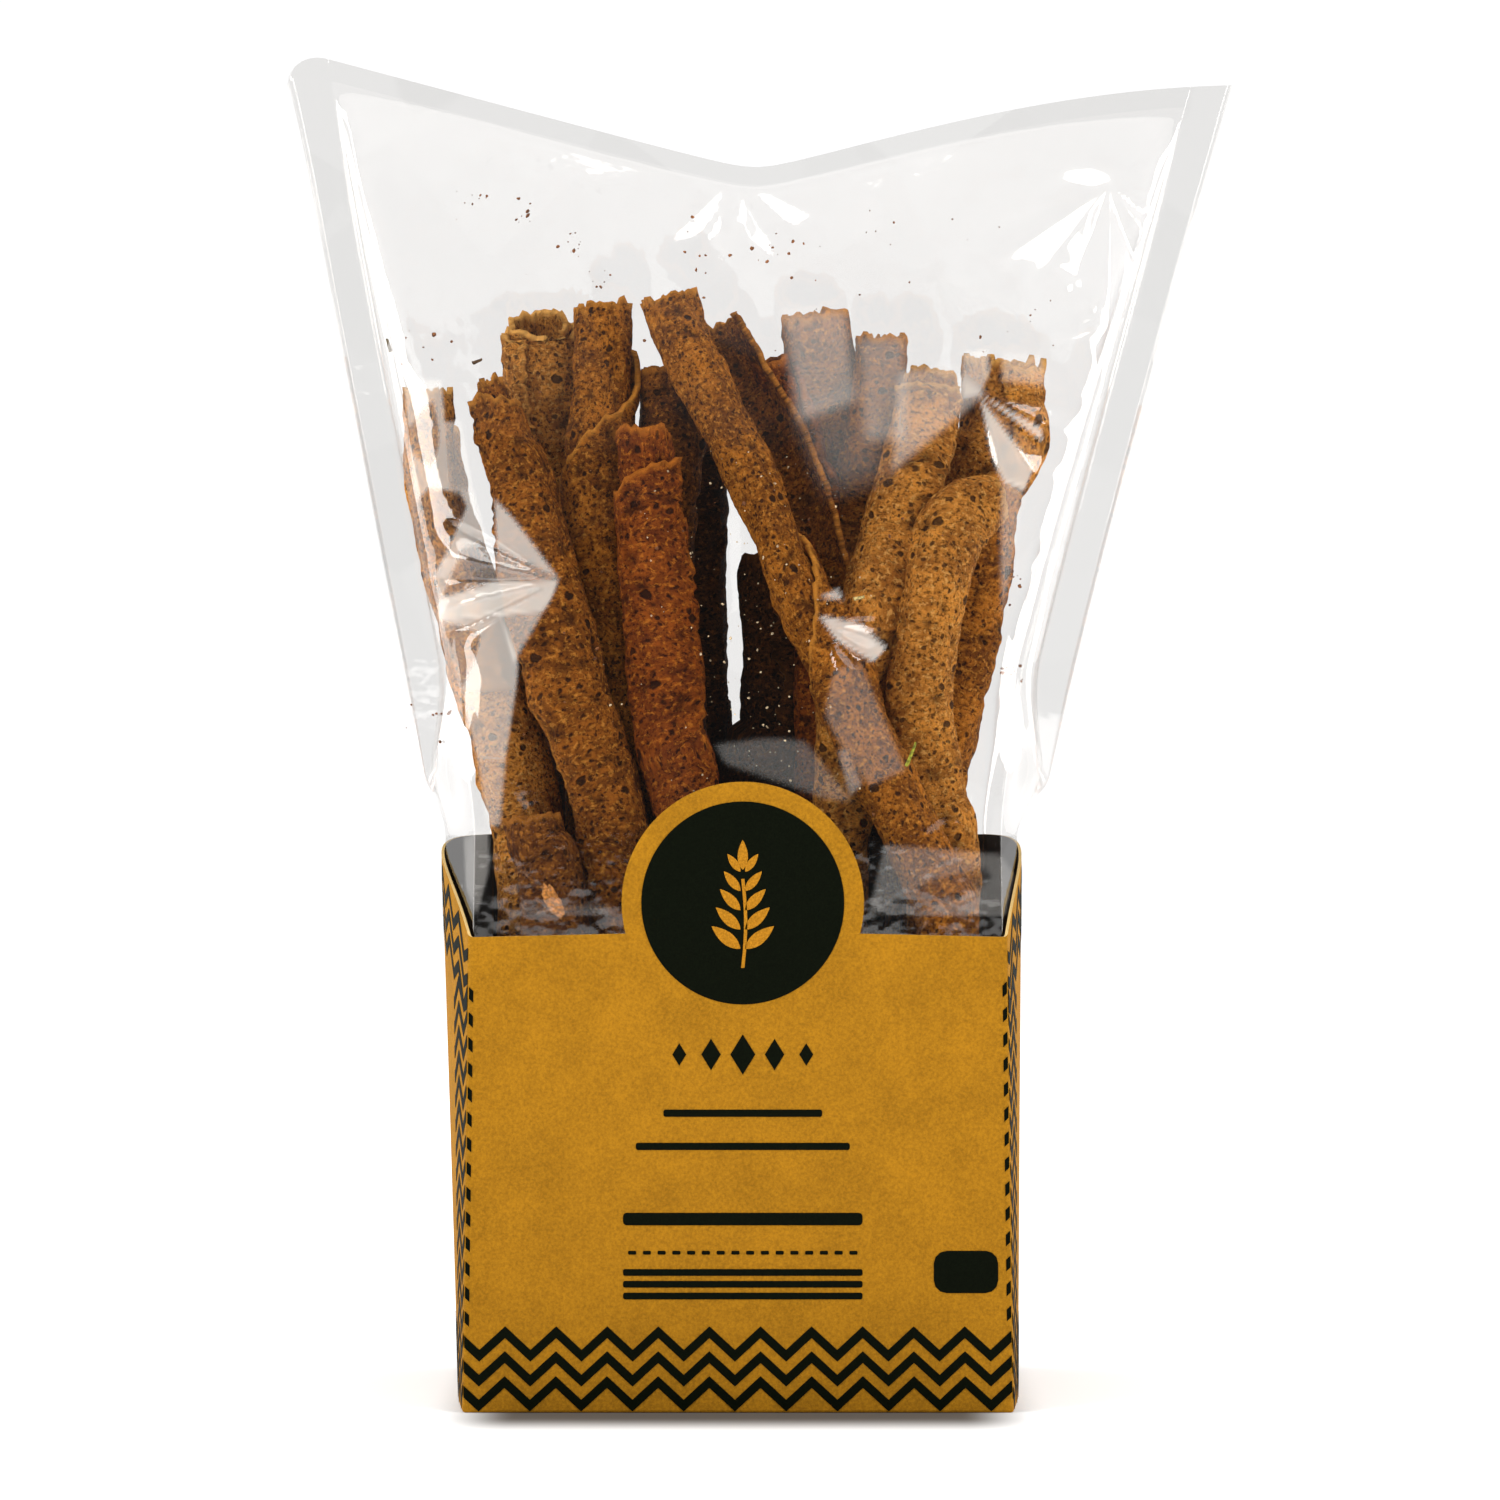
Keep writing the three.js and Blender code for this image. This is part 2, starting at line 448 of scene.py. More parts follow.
tray_mesh = walls()
print("upright fold edges", round_folds(tray_mesh))
floor_edges = [edge for edge in tray_mesh.edges
               if edge.is_boundary and max(vert.co.z for vert in edge.verts) < 0.01]
bmesh.ops.edgeloop_fill(tray_mesh, edges=floor_edges)
bevel(tray_mesh, floor_edges, FLOOR_FOLD_RADIUS, 2)
bmesh.ops.recalc_face_normals(tray_mesh, faces=tray_mesh.faces)
badge_plate(tray_mesh)
tray = finish(tray_mesh, "tray_board", [KRAFT, DARK_SIDE, CUT_EDGE], smooth=False)
board = thicken(tray, "board", CARD, -1)
board.material_offset = 1
board.material_offset_rim = 2
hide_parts("card_tray")

# %% [markdown]
# ## Print on the card
# Print has almost no thickness, but a mask in the material would blur at its edges, so
# each printed shape is a thin plate that stands a few hundredths of a millimetre off
# the card. Zigzag lines are grids whose columns are moved up and down in turn. They
# are laid round the base in three rows, and stacked beside the front folds of the
# sides, where they just reach round onto the front.

# %% Zigzag lines
PRINT_LIFT = 0.05
PRINT_THICKNESS = 0.05
ZIGZAG_PERIOD = 10.66
ZIGZAG_HEIGHT = 4.9
ZIGZAG_LINE = 2.45
ZIGZAG_PITCH = 5.18
BASE_ROWS = 3
LOWEST_VALLEY = 0.3
FIRST_PEAK = 8.7  # from the left end of the front panel
PRINT_GAP = 0.2  # left free at the folds and below the rim
SIDE_COLUMNS = 60  # a side is bowed, so its lines need steps of their own


def strip(bm, columns, place):
    """A band two vertices wide whose points come from place(column, edge)."""
    made = bmesh.ops.create_grid(bm, x_segments=len(columns) - 1, y_segments=1, size=0.5)
    last = len(columns) - 1
    for vert in made["verts"]:
        column = columns[round((vert.co.x + 0.5) * last)]
        vert.co = place(column, vert.co.y > 0)


def zigzag(bm, panel, start, end, level):
    """One zigzag line along a panel, from start to end in millimetres. The height of
    its valleys' lower edge at any place comes from level."""
    half = ZIGZAG_PERIOD / 2
    first = int((start - FIRST_PEAK) // half) + 1
    turns = []
    for k in range(first, first + int((end - start) // half) + 2):
        turn = FIRST_PEAK + k * half
        if start < turn < end:
            turns.append(turn)
    columns = {start, end, *turns}
    if panel in (LEFT, RIGHT):
        columns |= {start + (end - start) * k / SIDE_COLUMNS for k in range(SIDE_COLUMNS + 1)}

    def place(at, upper):
        wave = abs(((at - FIRST_PEAK) / ZIGZAG_PERIOD) % 1 - 0.5) * 2
        share = at / PANEL_LENGTH[panel]
        z = level(share) + wave * ZIGZAG_HEIGHT + (ZIGZAG_LINE if upper else 0)
        z = min(z, rim(panel, unit(share)) - PRINT_GAP)
        return round_tray(panel, share, z, PRINT_LIFT)

    strip(bm, sorted(columns), place)


def base_level(row):
    return lambda share: LOWEST_VALLEY + row * ZIGZAG_PITCH


print_mesh = bmesh.new()
for panel in (FRONT, RIGHT, BACK, LEFT):
    for row in range(BASE_ROWS):
        zigzag(print_mesh, panel, PRINT_GAP, PANEL_LENGTH[panel] - PRINT_GAP, base_level(row))
print("zigzag rows", BASE_ROWS, "on four panels")

# %% Zigzags of the sides
STACK_WIDTH = 15.0  # beside the front fold
STACK_TOP_GAP = 9.0
EDGE_ROWS = 3
FOLD_TICK = 1.15  # how far the stacked lines reach round the fold onto the front


def slanted_level(panel, row):
    drop = ZIGZAG_HEIGHT + ZIGZAG_LINE + 1.0 + row * ZIGZAG_PITCH
    return lambda share: rim(panel, unit(share)) - drop


for panel in (RIGHT, LEFT):
    length = PANEL_LENGTH[panel]
    span = (0.5, STACK_WIDTH)
    on_front = (PANEL_LENGTH[FRONT] - FOLD_TICK, PANEL_LENGTH[FRONT] - PRINT_GAP)
    if panel == LEFT:
        span = (length - STACK_WIDTH, length - 0.5)
        on_front = (PRINT_GAP, FOLD_TICK)
    rows = int((FRONT_CORNER_HEIGHT - STACK_TOP_GAP) / ZIGZAG_PITCH)
    for row in range(BASE_ROWS, rows):
        zigzag(print_mesh, panel, *span, base_level(row))
        zigzag(print_mesh, FRONT, *on_front, base_level(row))
    for row in range(EDGE_ROWS):
        zigzag(print_mesh, panel, 0.5, length - 0.5, slanted_level(panel, row))
print("stacked rows beside each front fold", rows - BASE_ROWS)

# %% [markdown]
# ## Plain shapes on the front
# Below the badge stand a row of lozenges, bars, a row of dots, three stripes and a plain
# block. They are generic marks with the weight that lettering would have there.

# %% Bars, lozenges, dots and stripes
def bar(bm, x, z, width, height):
    """A level bar on the front panel with rounded ends."""
    verts = bmesh.ops.create_grid(bm, x_segments=1, y_segments=1, size=0.5)["verts"]
    bmesh.ops.scale(bm, vec=(width, height, 1), verts=verts)
    if min(width, height) > 0.7:
        bevel(bm, verts, min(width, height) * 0.3, 3, "VERTICES")
    new = [vert for vert in bm.verts if abs(vert.co.z) < 1e-6 and abs(vert.co.y) <= height]
    centre = round_tray(FRONT, 0.5, 0, PRINT_LIFT)
    for vert in new:
        vert.co = centre + Vector((vert.co.x + x, 0, vert.co.y + z))


MIDDLE = 1.0
LOZENGES, LOZENGE_Z, LOZENGE_PITCH = 5, 74.5, 6.6
LOZENGE_HALF_WIDTH, LOZENGE_HALF_HEIGHT = 2.6, 4.2
SHRINK = 0.22  # from one lozenge to the next one out
BARS = ((62.3, 33.0, 1.5), (55.4, 44.5, 1.5), (40.3, 49.8, 2.6))  # z, width, height
DOTS, DOT_Z, DOT_RUN = 16, 33.3, 46.0
STRIPES, TOP_STRIPE_Z, STRIPE_PITCH = 3, 29.2, 2.45
for k in range(LOZENGES):
    lozenge = bmesh.ops.create_circle(print_mesh, cap_ends=True, segments=4, radius=1.0)
    place = k - (LOZENGES - 1) / 2
    grow = 1.0 - SHRINK * abs(place)
    for vert in lozenge["verts"]:
        x = MIDDLE + place * LOZENGE_PITCH + vert.co.x * LOZENGE_HALF_WIDTH * grow
        z = LOZENGE_Z + vert.co.y * LOZENGE_HALF_HEIGHT * grow
        vert.co = Vector((x, -HALF_DEPTH - PRINT_LIFT, z))
for z, width, height in BARS:
    bar(print_mesh, MIDDLE, z, width, height)
for k in range(DOTS):
    bar(print_mesh, MIDDLE + DOT_RUN * (k / (DOTS - 1) - 0.5), DOT_Z, width=1.7, height=0.8)
for k in range(STRIPES):
    bar(print_mesh, MIDDLE, TOP_STRIPE_Z - STRIPE_PITCH * k, width=49.8, height=1.4)
bar(print_mesh, 47.4, 29.3, width=13.4, height=8.8)  # a plain block
print_faces = len(print_mesh.faces)


def lay_print(bm, name, material):
    """Turn every face outwards and give the coat its thickness."""
    for face in bm.faces:
        face.normal_update()
        middle = face.calc_center_median()
        away = Vector((middle.x, 0, 0))
        if abs(middle.x) < HALF_WIDTH + 0.01:
            away = Vector((middle.x * 0.05, middle.y, 0))
        if face.normal.dot(away) < 0:
            face.normal_flip()
    piece = finish(bm, name, [material], smooth=False)
    thicken(piece, "coat", PRINT_THICKNESS, 1)


lay_print(print_mesh, "black_print", BLACK)
print("printed faces", print_faces)

# %% [markdown]
# ## Badge
# The badge is a black disc inside a kraft ring. On it lies a plain sprig: a stem with
# pairs of leaves, each a circle that is stretched and pinched to a point.

# %% Badge print
DISC_RADIUS = 21.1
SPRIG_FOOT = 92.5
SPRIG_TOP = 117.5
LEAF_PAIRS = 5


def leaf(bm, x, z, length, width, angle, lift):
    made = bmesh.ops.create_circle(bm, cap_ends=True, segments=24, radius=1.0)
    for vert in made["verts"]:
        along = (vert.co.x + 1) / 2
        across = vert.co.y * width / 2 * (1 - 0.35 * along) * sin(pi * along) ** 0.35
        forward = along * length
        vert.co = Vector((x + forward * cos(angle) - across * sin(angle),
                          -HALF_DEPTH - lift,
                          z + forward * sin(angle) + across * cos(angle)))


disc_mesh = bmesh.new()
bmesh.ops.create_circle(disc_mesh, cap_ends=True, segments=128, radius=DISC_RADIUS,
                        matrix=on_badge(PRINT_LIFT))
lay_print(disc_mesh, "badge_disc", BLACK)
sprig_mesh = bmesh.new()
SPRIG_LIFT = PRINT_LIFT + PRINT_THICKNESS + 0.02
for k in range(LEAF_PAIRS):
    z = mix(SPRIG_FOOT + 4, SPRIG_TOP - 5, k / (LEAF_PAIRS - 1))
    size = 7.6 - 0.75 * k
    for side in (-1, 1):
        lean = pi / 2 - side * radians(52 - 4 * k)
        leaf(sprig_mesh, BADGE_X + side * 0.5, z, size, size * 0.42, lean, SPRIG_LIFT)
leaf(sprig_mesh, BADGE_X, SPRIG_TOP - 4.6, 6.2, 2.6, pi / 2, SPRIG_LIFT)
strip(sprig_mesh, [k / 12 for k in range(13)], lambda t, upper: Vector((
    BADGE_X + (0.34 if upper else -0.34) + 0.6 * sin(pi * t),
    -HALF_DEPTH - SPRIG_LIFT,
    mix(SPRIG_FOOT, SPRIG_TOP - 6.5, t))))
lay_print(sprig_mesh, "badge_sprig", PALE_INK)
print("leaves", 2 * LEAF_PAIRS + 1)

# %% [markdown]
# ## The bag's form
# The bag starts as a tube that is welded flat across its top and has a flat fin down
# either side. At the tray it is as deep as the tray, and it runs out to nothing at the
# top weld. The formulas here are those of the solid that the film replaces.

# %% The bag's form
GAP = 0.35
SHOULDER = BACK_HEIGHT
VALLEY_X, VALLEY_Z = 3.7, 263.5
TOP_REACH = {"left": 97.5, "right": 106.5}
TOP_RISE = {"left": 27.0, "right": 17.7}
CORNER_RADIUS = 9.0
SHOULDER_REACH = {"left": 65.0, "right": 64.5}
RIGHT_FLARE_POWER = 1.12
VALLEY_ROUNDING = 0.05
SIDE_SEAL = 9.0
TOP_SEAL_SHARE = 0.97
SEAL_HALF_THICKNESS = 0.25
ROUNDNESS = (8, 3)  # exponents of the bag's section, at the tray and at the top
DEPTH_POWER = 1.8
FIN_SHARE = 0.06  # of the way round the front that each fin takes


def top_edge(x):
    side = "left" if x < VALLEY_X else "right"
    span = TOP_REACH["left"] + VALLEY_X if side == "left" else TOP_REACH["right"] - VALLEY_X
    share = unit(abs(x - VALLEY_X) / span)
    soft = hypot(share, VALLEY_ROUNDING) - VALLEY_ROUNDING
    lift = soft if side == "left" else sin(pi / 2 * soft)
    past = max(0.0, -x - (TOP_REACH["left"] - CORNER_RADIUS))
    drop = CORNER_RADIUS - sqrt(max(0.0, CORNER_RADIUS ** 2 - past ** 2))
    return VALLEY_Z + TOP_RISE[side] * lift - drop


def reach(share):
    """How far the film reaches to the left and the right of the middle."""
    left = mix(SHOULDER_REACH["left"], TOP_REACH["left"], share)
    right = mix(SHOULDER_REACH["right"], TOP_REACH["right"], share ** RIGHT_FLARE_POWER)
    return left, right


def half_depth(share):
    body = HALF_DEPTH - CARD - GAP
    return body * (1 - unit(share / TOP_SEAL_SHARE) ** DEPTH_POWER)


def film_depth(x, z):
    """Half the depth of the bag's room at a place above the tray."""
    share = unit((z - SHOULDER) / (top_edge(x) - SHOULDER))
    left, right = reach(share)
    fin = SIDE_SEAL * ease(share * 4)
    centre = (right - left) / 2
    half = (left + right) / 2 - fin
    power = mix(*ROUNDNESS, share)
    across = min(1.0, abs(x - centre) / half)
    return half_depth(share) * (1 - across ** power) ** (1 / power)


print("room for sticks at 200 mm:", round(film_depth(0, 200), 1), "mm either way")

# %% [markdown]
# ## Where the sticks stand
# The sticks stand in the tray and fan out. Each is listed with its centre line as the
# camera sees it, from tip to foot, on the plane of the front panel, and with its radius
# at each point. What the camera can't show is how deep each one stands. A first guess
# puts them in layers, and then they are pushed apart in depth, again and again, until
# little of their overlap is left.

# %% The sticks
class Stick:
    """One rolled stick. Points are (x, z, radius), tip first."""

    def __init__(self, name, points, depth, crust="plain", turns=1.8, seam=70.0, hand=1,
                 twist=0.0, step=0.0, slant=0.0, ragged=2.6, flat=0.92, fine=True):
        self.name = name
        self.points = points
        self.depth = depth  # at the foot and at the tip
        self.crust = crust
        self.turns = turns
        self.seam = seam  # where the free edge lies: 0 faces right, 90 the camera, 180 left
        self.hand = hand  # 1 rolls clockwise from the free edge, seen from above
        self.twist = twist
        self.step = step  # how far below the tip the free edge starts
        self.slant = slant  # how much further down the outer turn starts, a turn further in
        self.ragged = ragged  # height of the torn tip's teeth
        self.flat = flat  # depth of the roll as a share of its width
        self.fine = fine  # False for a stick that hardly shows
        self.radius = max(radius for x, z, radius in points)


# The dark crust is painted shade: it darkens the sticks at the back for the shadow they stand in.
STICKS = [
    Stick("left_outer", [
        (-64.7, 214, 4.6), (-63.8, 194, 4.9), (-58.8, 175, 5.7), (-52.4, 155.5, 7.2),
        (-46.6, 136, 8.1), (-42.2, 107, 7.4), (-39, 3, 7.4),
    ], (-14, -3), "pale", seam=250, turns=1.6),
    Stick("left_narrow", [
        (-62.6, 205.6, 4.6), (-60.5, 190, 5.5), (-56.1, 174, 5.8), (-51.6, 158.6, 6.2),
        (-41.2, 107, 6.2), (-35, 3, 6.2),
    ], (4, 5), "pale", seam=250, turns=1.4, fine=False),
    Stick("left_front", [
        (-52.4, 216.8, 5.2), (-48.6, 202.2, 5.6), (-44.9, 194, 6.4), (-41.8, 177, 8.4),
        (-37.8, 160.7, 9.0), (-35.1, 148, 8.8), (-30.8, 137, 8.1), (-25.2, 113, 8.0),
        (-16, 3, 8.0),
    ], (-26, -7), "porous", seam=152, twist=-6, step=4, slant=6, ragged=3.4, turns=1.9),
    Stick("left_broad", [
        (-41.2, 228, 8.4), (-40.4, 210.6, 8.6), (-36.6, 194, 7.9), (-28.7, 148, 7.7),
        (-26, 3, 7.7),
    ], (6, 1), "pale", seam=112, step=3, slant=-2, hand=-1, ragged=3.0, flat=0.75),
    Stick("behind_left", [
        (-36, 168, 6.4), (-35, 136, 6.5), (-33, 110, 6.5), (-28, 3, 6.5),
    ], (12, 6), "dark", seam=250, turns=1.4, fine=False),
    Stick("left_tall", [
        (-27.9, 232.5, 7.9), (-27.6, 214.7, 7.6), (-29.9, 198, 7.3), (-28.3, 177, 7.2),
        (-24.5, 148, 7.2), (-19.3, 127, 7.2), (-12, 3, 7.2),
    ], (-8, -4), "mottled", seam=-60, step=56, slant=-49, ragged=3.8),
    Stick("front_red", [
        (-19.1, 205, 7.4), (-18.3, 194, 7.2), (-16.6, 173, 7.6), (-16, 158, 7.2),
        (-13.3, 136, 7.1), (-10.8, 127, 7.2), (0, 3, 7.4),
    ], (-29, -13), "reddish", seam=22, hand=-1, step=5.5, slant=15, ragged=2.6, turns=2.1),
    Stick("behind_red", [
        (-14, 219, 5.6), (-13.4, 205, 7.2), (-15, 190, 7.5), (-16, 177, 7.4),
        (-15.4, 160.7, 7.3), (-13, 136, 7.3), (-10, 3, 7.3),
    ], (14, 0), "brown", seam=250, turns=1.6, fine=False),
    Stick("long_diagonal", [
        (-14.6, 234.7, 8.0), (-11.2, 224, 7.9), (-4.8, 210.6, 7.7), (3.3, 194, 7.3),
        (10, 177.3, 7.0), (13.7, 169, 7.2), (18.3, 160.7, 7.7), (22.2, 152.3, 7.1),
        (24.9, 144, 6.5), (33.1, 127.4, 6.5), (41, 110.8, 6.6), (44.1, 101, 6.6),
        (45.5, 55, 6.6),
    ], (-34, -6), "mottled", seam=-70, step=113, slant=-60, ragged=4.2, turns=2.0),
    Stick("open_roll", [
        (-6.7, 232, 6.3), (-6.2, 225, 6.4), (2.5, 209.5, 7.2), (9.8, 194, 7.3),
        (14.1, 181.5, 7.2), (18.3, 169, 7.2), (24.9, 157.5, 7.2), (29.7, 144, 7.0),
        (35.3, 127.4, 6.2), (42, 110.8, 6.0), (44.5, 65, 6.0),
    ], (-6, 3), "plain", seam=15, turns=0.6, step=3, ragged=3.4),
    Stick("dark_left", [
        (-10, 206, 7.4), (-9.8, 180, 7.6), (-9.6, 148, 7.7), (-9, 136, 7.7), (-8, 3, 7.7),
    ], (24, 9), "dark", seam=100, turns=1.4, fine=False),
    Stick("middle_dark", [
        (7.9, 179, 7.4), (7.7, 169, 7.6), (8.4, 150, 7.6), (8.2, 144, 7.6), (6.6, 137, 7.6),
        (3.2, 127, 7.6), (-1, 3, 7.6),
    ], (8, 8), "dark", seam=90, turns=1.4, fine=False),
    Stick("middle_back", [
        (16.5, 180, 6.6), (15, 158, 6.8), (7, 3, 6.8),
    ], (22, 8), "dark", seam=60, turns=1.4, fine=False),
    Stick("thin_back", [
        (7.1, 220.5, 4.6), (10.8, 208.5, 4.5), (14.1, 194, 4.4), (16, 177, 4.4), (16, 3, 4.4),
    ], (8, 6), "reddish", seam=40, turns=1.3, ragged=2.0, fine=False),
    Stick("broad_back", [
        (16, 230, 7.4), (18.1, 214.7, 7.5), (19.5, 198, 7.7), (20.6, 160.7, 7.7), (16, 3, 7.7),
    ], (30, 6), "plain", seam=250, ragged=2.2, turns=1.6),
    Stick("right_back", [
        (30.2, 226, 5.8), (29.2, 208.5, 5.9), (25.8, 192, 6.0), (22.9, 169, 6.2), (19, 3, 6.2),
    ], (16, 6), "plain", seam=250, ragged=4.0, turns=1.5),
    Stick("right_slant", [
        (39.7, 218.4, 6.4), (39.6, 210.6, 7.0), (36.6, 198, 6.5), (33.3, 185.6, 6.6),
        (29.7, 173, 6.4), (26.6, 160.7, 6.3), (22.2, 135.7, 6.3), (17, 3, 6.3),
    ], (-4, -4), "pale", seam=38, twist=-10, step=5, slant=-4, hand=-1),
    Stick("right_coil", [
        (55.3, 221, 8.8), (54.4, 210.6, 8.6), (54.8, 203, 9.3), (51.4, 195.5, 9.0),
        (47, 186, 8.0), (43, 177, 7.2), (38.9, 148, 7.0), (33.7, 3, 7.0),
    ], (22, 5), "pale", seam=95, turns=2.2, ragged=4.4),
    Stick("right_curved", [
        (55.7, 190.4, 3.4), (51.4, 189, 5.6), (47.6, 186.4, 6.8), (44.7, 182.5, 7.3),
        (41, 169, 7.0), (38, 152, 7.0), (38, 144, 7.0), (40.5, 127, 7.0), (43, 111, 7.0),
        (40, 3, 7.0),
    ], (-18, -13), "pale", seam=260, ragged=1.2),
    Stick("behind_right", [
        (32, 168, 5.6), (30.6, 136, 5.8), (30, 110, 5.8), (30, 3, 5.8),
    ], (33, 10), "dark", seam=250, turns=1.4, fine=False),
    Stick("right_outer", [
        (55.3, 192.7, 4.0), (53, 187.7, 5.6), (50.9, 177, 6.5), (47.8, 160.7, 6.5),
        (44.1, 141.5, 6.5), (41, 123, 6.5), (40, 3, 6.5),
    ], (8, 1), "mottled", seam=260, turns=1.5),
    Stick("short_front", [
        (-42.8, 126, 5.4), (-41.6, 119, 6.2), (-37.8, 103.5, 6.8), (-34, 3, 6.8),
    ], (-31, -28), "brown", seam=250, ragged=3.2),
]
print(len(STICKS), "sticks")

# %% [markdown]
# A centre line runs smoothly through its few points. `follow` samples such a curve at
# equal steps with the Catmull-Rom formula, which passes through every point.

# %% Centre lines
LEVEL_STEP = 6.0


def follow(points, count):
    """Count points at equal steps of a smooth curve through the given ones."""
    ends = [2 * points[0] - points[1], *points, 2 * points[-1] - points[-2]]
    fine = []
    for p, q, r, s in zip(ends, ends[1:], ends[2:], ends[3:]):
        for k in range(16):
            t = k / 16
            fine.append(0.5 * (2 * q + (r - p) * t + (2 * p - 5 * q + 4 * r - s) * t ** 2
                               + (3 * q - p - 3 * r + s) * t ** 3))
    fine.append(points[-1])
    run = [0.0]
    for a, b in zip(fine, fine[1:]):
        run.append(run[-1] + (b - a).length)
    out, k = [], 0
    for i in range(count):
        goal = run[-1] * i / (count - 1)
        while k < len(run) - 2 and run[k + 1] < goal:
            k += 1
        out.append(fine[k].lerp(fine[k + 1], unit((goal - run[k]) / (run[k + 1] - run[k]))))
    return out


def front_line(stick):
    """The centre line on the front plane, with the radius as its third number."""
    return follow([Vector(point) for point in stick.points], 60)


def level_places(line, levels):
    """A stick's x and radius at each level, or None where it isn't."""
    places = []
    for z in levels:
        at = None
        for a, b in zip(line, line[1:]):
            if b.y <= z <= a.y and a.y > b.y:
                at = a.lerp(b, (a.y - z) / (a.y - b.y))
        places.append((at.x, at.z) if at else None)
    return places


LEVELS = [3 + LEVEL_STEP * k for k in range(39)]
LINES = {stick.name: front_line(stick) for stick in STICKS}
PLACES = {stick.name: level_places(LINES[stick.name], LEVELS) for stick in STICKS}
print("levels up to", LEVELS[-1], "mm")

# %% [markdown]
# Where two sticks overlap at a level, each gives way by a share of what they lack, the
# one in front forwards and the other backwards. Then every depth is kept inside the
# film and evened out along the stick, because a baked stick is stiff.

# %% Push the sticks apart in depth
FILM_MARGIN = 1.6
ROUNDS = 160
PUSHES = 3  # in each round, before the sticks are evened out
TOUCH = 0.96  # sticks may press together a little
GIVE = 0.3  # share of what two sticks lack that each gives way by
EVENED = 0.3  # how much of a depth comes from its two neighbours


def first_depth(stick, z):
    tip = stick.points[0][1]
    return mix(stick.depth[0], stick.depth[1], unit(z / tip))


def allowed_depth(x, z, radius):
    if z < SHOULDER:
        return HALF_DEPTH - CARD - radius - FILM_MARGIN
    return max(0.5, film_depth(x, z) - radius - FILM_MARGIN)


DEPTHS = {s.name: [first_depth(s, z) for z in LEVELS] for s in STICKS}


def push_pair(one, two, k):
    if PLACES[one.name][k] is None or PLACES[two.name][k] is None:
        return 0.0
    xa, ra = PLACES[one.name][k]
    xb, rb = PLACES[two.name][k]
    room = TOUCH * (ra + rb)
    if abs(xa - xb) >= room:
        return 0.0
    ya, yb = DEPTHS[one.name][k], DEPTHS[two.name][k]
    need = sqrt(room ** 2 - (xa - xb) ** 2)
    lack = need - abs(ya - yb)
    if lack <= 0:
        return 0.0
    way = -1 if first_depth(one, LEVELS[k]) < first_depth(two, LEVELS[k]) else 1
    DEPTHS[one.name][k] += way * lack * GIVE
    DEPTHS[two.name][k] -= way * lack * GIVE
    return lack


for turn in range(ROUNDS):
    worst = 0.0
    for k in list(range(len(LEVELS))) * PUSHES:
        for i, one in enumerate(STICKS):
            for two in STICKS[i + 1:]:
                worst = max(worst, push_pair(one, two, k))
    for stick in STICKS:
        depths, places = DEPTHS[stick.name], PLACES[stick.name]
        held = [k for k in range(len(LEVELS)) if places[k] is not None]
        for k in held:
            limit = allowed_depth(places[k][0], LEVELS[k], places[k][1])
            depths[k] = min(limit, max(-limit, depths[k]))
        for k in held[1:-1]:
            depths[k] = mix(depths[k], 0.5 * (depths[k - 1] + depths[k + 1]), EVENED)
print("deepest overlap left:", round(worst, 2), "mm")

# %% [markdown]
# ## Finish of the crust
# The batter is buckwheat: a dry brown crumb, golden where it is thin, with dark pores
# where bubbles broke. Two scales of cells make the pores: large round ones with a paler
# rim and many fine ones. The torn tip and the free edge are golden as well: a crisper
# edge, with a painted highlight along it. The pattern lies in the sheet's own flat
# coordinates, in centimetres, so it bends round the roll with the sheet.

# %% Crust
HOLE_CELLS = 2.5  # to a centimetre, at most one hole in each
DOT_CELLS = 6.2


def crust(name, low, high, edge, pores, specks):
    f = Finish(name)
    sheet = f.node("UVMap", {"uv_map": "sheet"})
    cloud = f.noise(sheet, 0.9, 3.0, 0.6)
    patch = f.noise(sheet, 4.0, 5.0, 0.7)
    grain = f.noise(sheet, 12, 4.0, 0.72)
    aside = f.node("Mapping", {}, {"Vector": sheet, "Location": (7.0, 3.0, 0.0)})
    gold = f.noise(aside, 8, 4.0, 0.7)
    bent = f.node("VectorMath", {"operation": "ADD"}, {0: sheet, 1: f.noise(sheet, 9, 2.0) * 0.12})
    large = f.cells(bent, HOLE_CELLS)
    draw = f.cells(bent, HOLE_CELLS, "Color")
    size = f.channel(draw, 0) * 0.2 + 0.07
    there = f.channel(draw, 1) > (1 - pores)
    hole = (large - size).step(0.05, -0.05) * there
    collar = (large - size).step(0.22, 0.04) * there
    luck = f.channel(f.cells(bent, DOT_CELLS, "Color"), 1)
    dot = (f.cells(bent, DOT_CELLS) - luck * 0.22).step(0.16, 0.02) * (luck > (1 - specks))
    pit = f.painted("pit")
    crisp_highlit_edge = f.painted("crisp_highlit_edge")
    tone = f.blend((cloud * 0.45 + patch * 0.55).step(0.40, 0.61), low, high)
    tone = f.blend(grain.step(0.47, 0.62) * 0.85, tone, shade(low, 0.25))
    tone = f.blend(gold.step(0.51, 0.66) * 0.75, tone, edge)
    tone = f.blend(collar * (1 - hole) * 0.4, tone, shade(high, 1.3))
    # the torn tip and the free edge: a crisper edge, with a painted highlight along it
    tone = f.blend(crisp_highlit_edge * 0.75, tone, edge)
    tone = f.blend(dot * (1 - crisp_highlit_edge) * 0.85, tone, shade(low, 0.18))
    tone = f.blend(hole * (1 - crisp_highlit_edge) * 0.9, tone, shade(low, 0.13))
    # dents are darkened the deeper they are: painted shade in them
    tone = f.blend(pit * (1 - crisp_highlit_edge), tone, shade(low, 0.2))
    height = grain * -0.5 + patch * 0.8 - hole * 1.0 - dot * 0.5 + collar * 0.2 + gold * 0.4
    skin = {
        "Base Color": tone,
        "Roughness": 0.75,
        "Specular IOR Level": 0.1,
        "Normal": f.bump(height, 0.0018, 1.0),
    }
    return f.skin(skin)


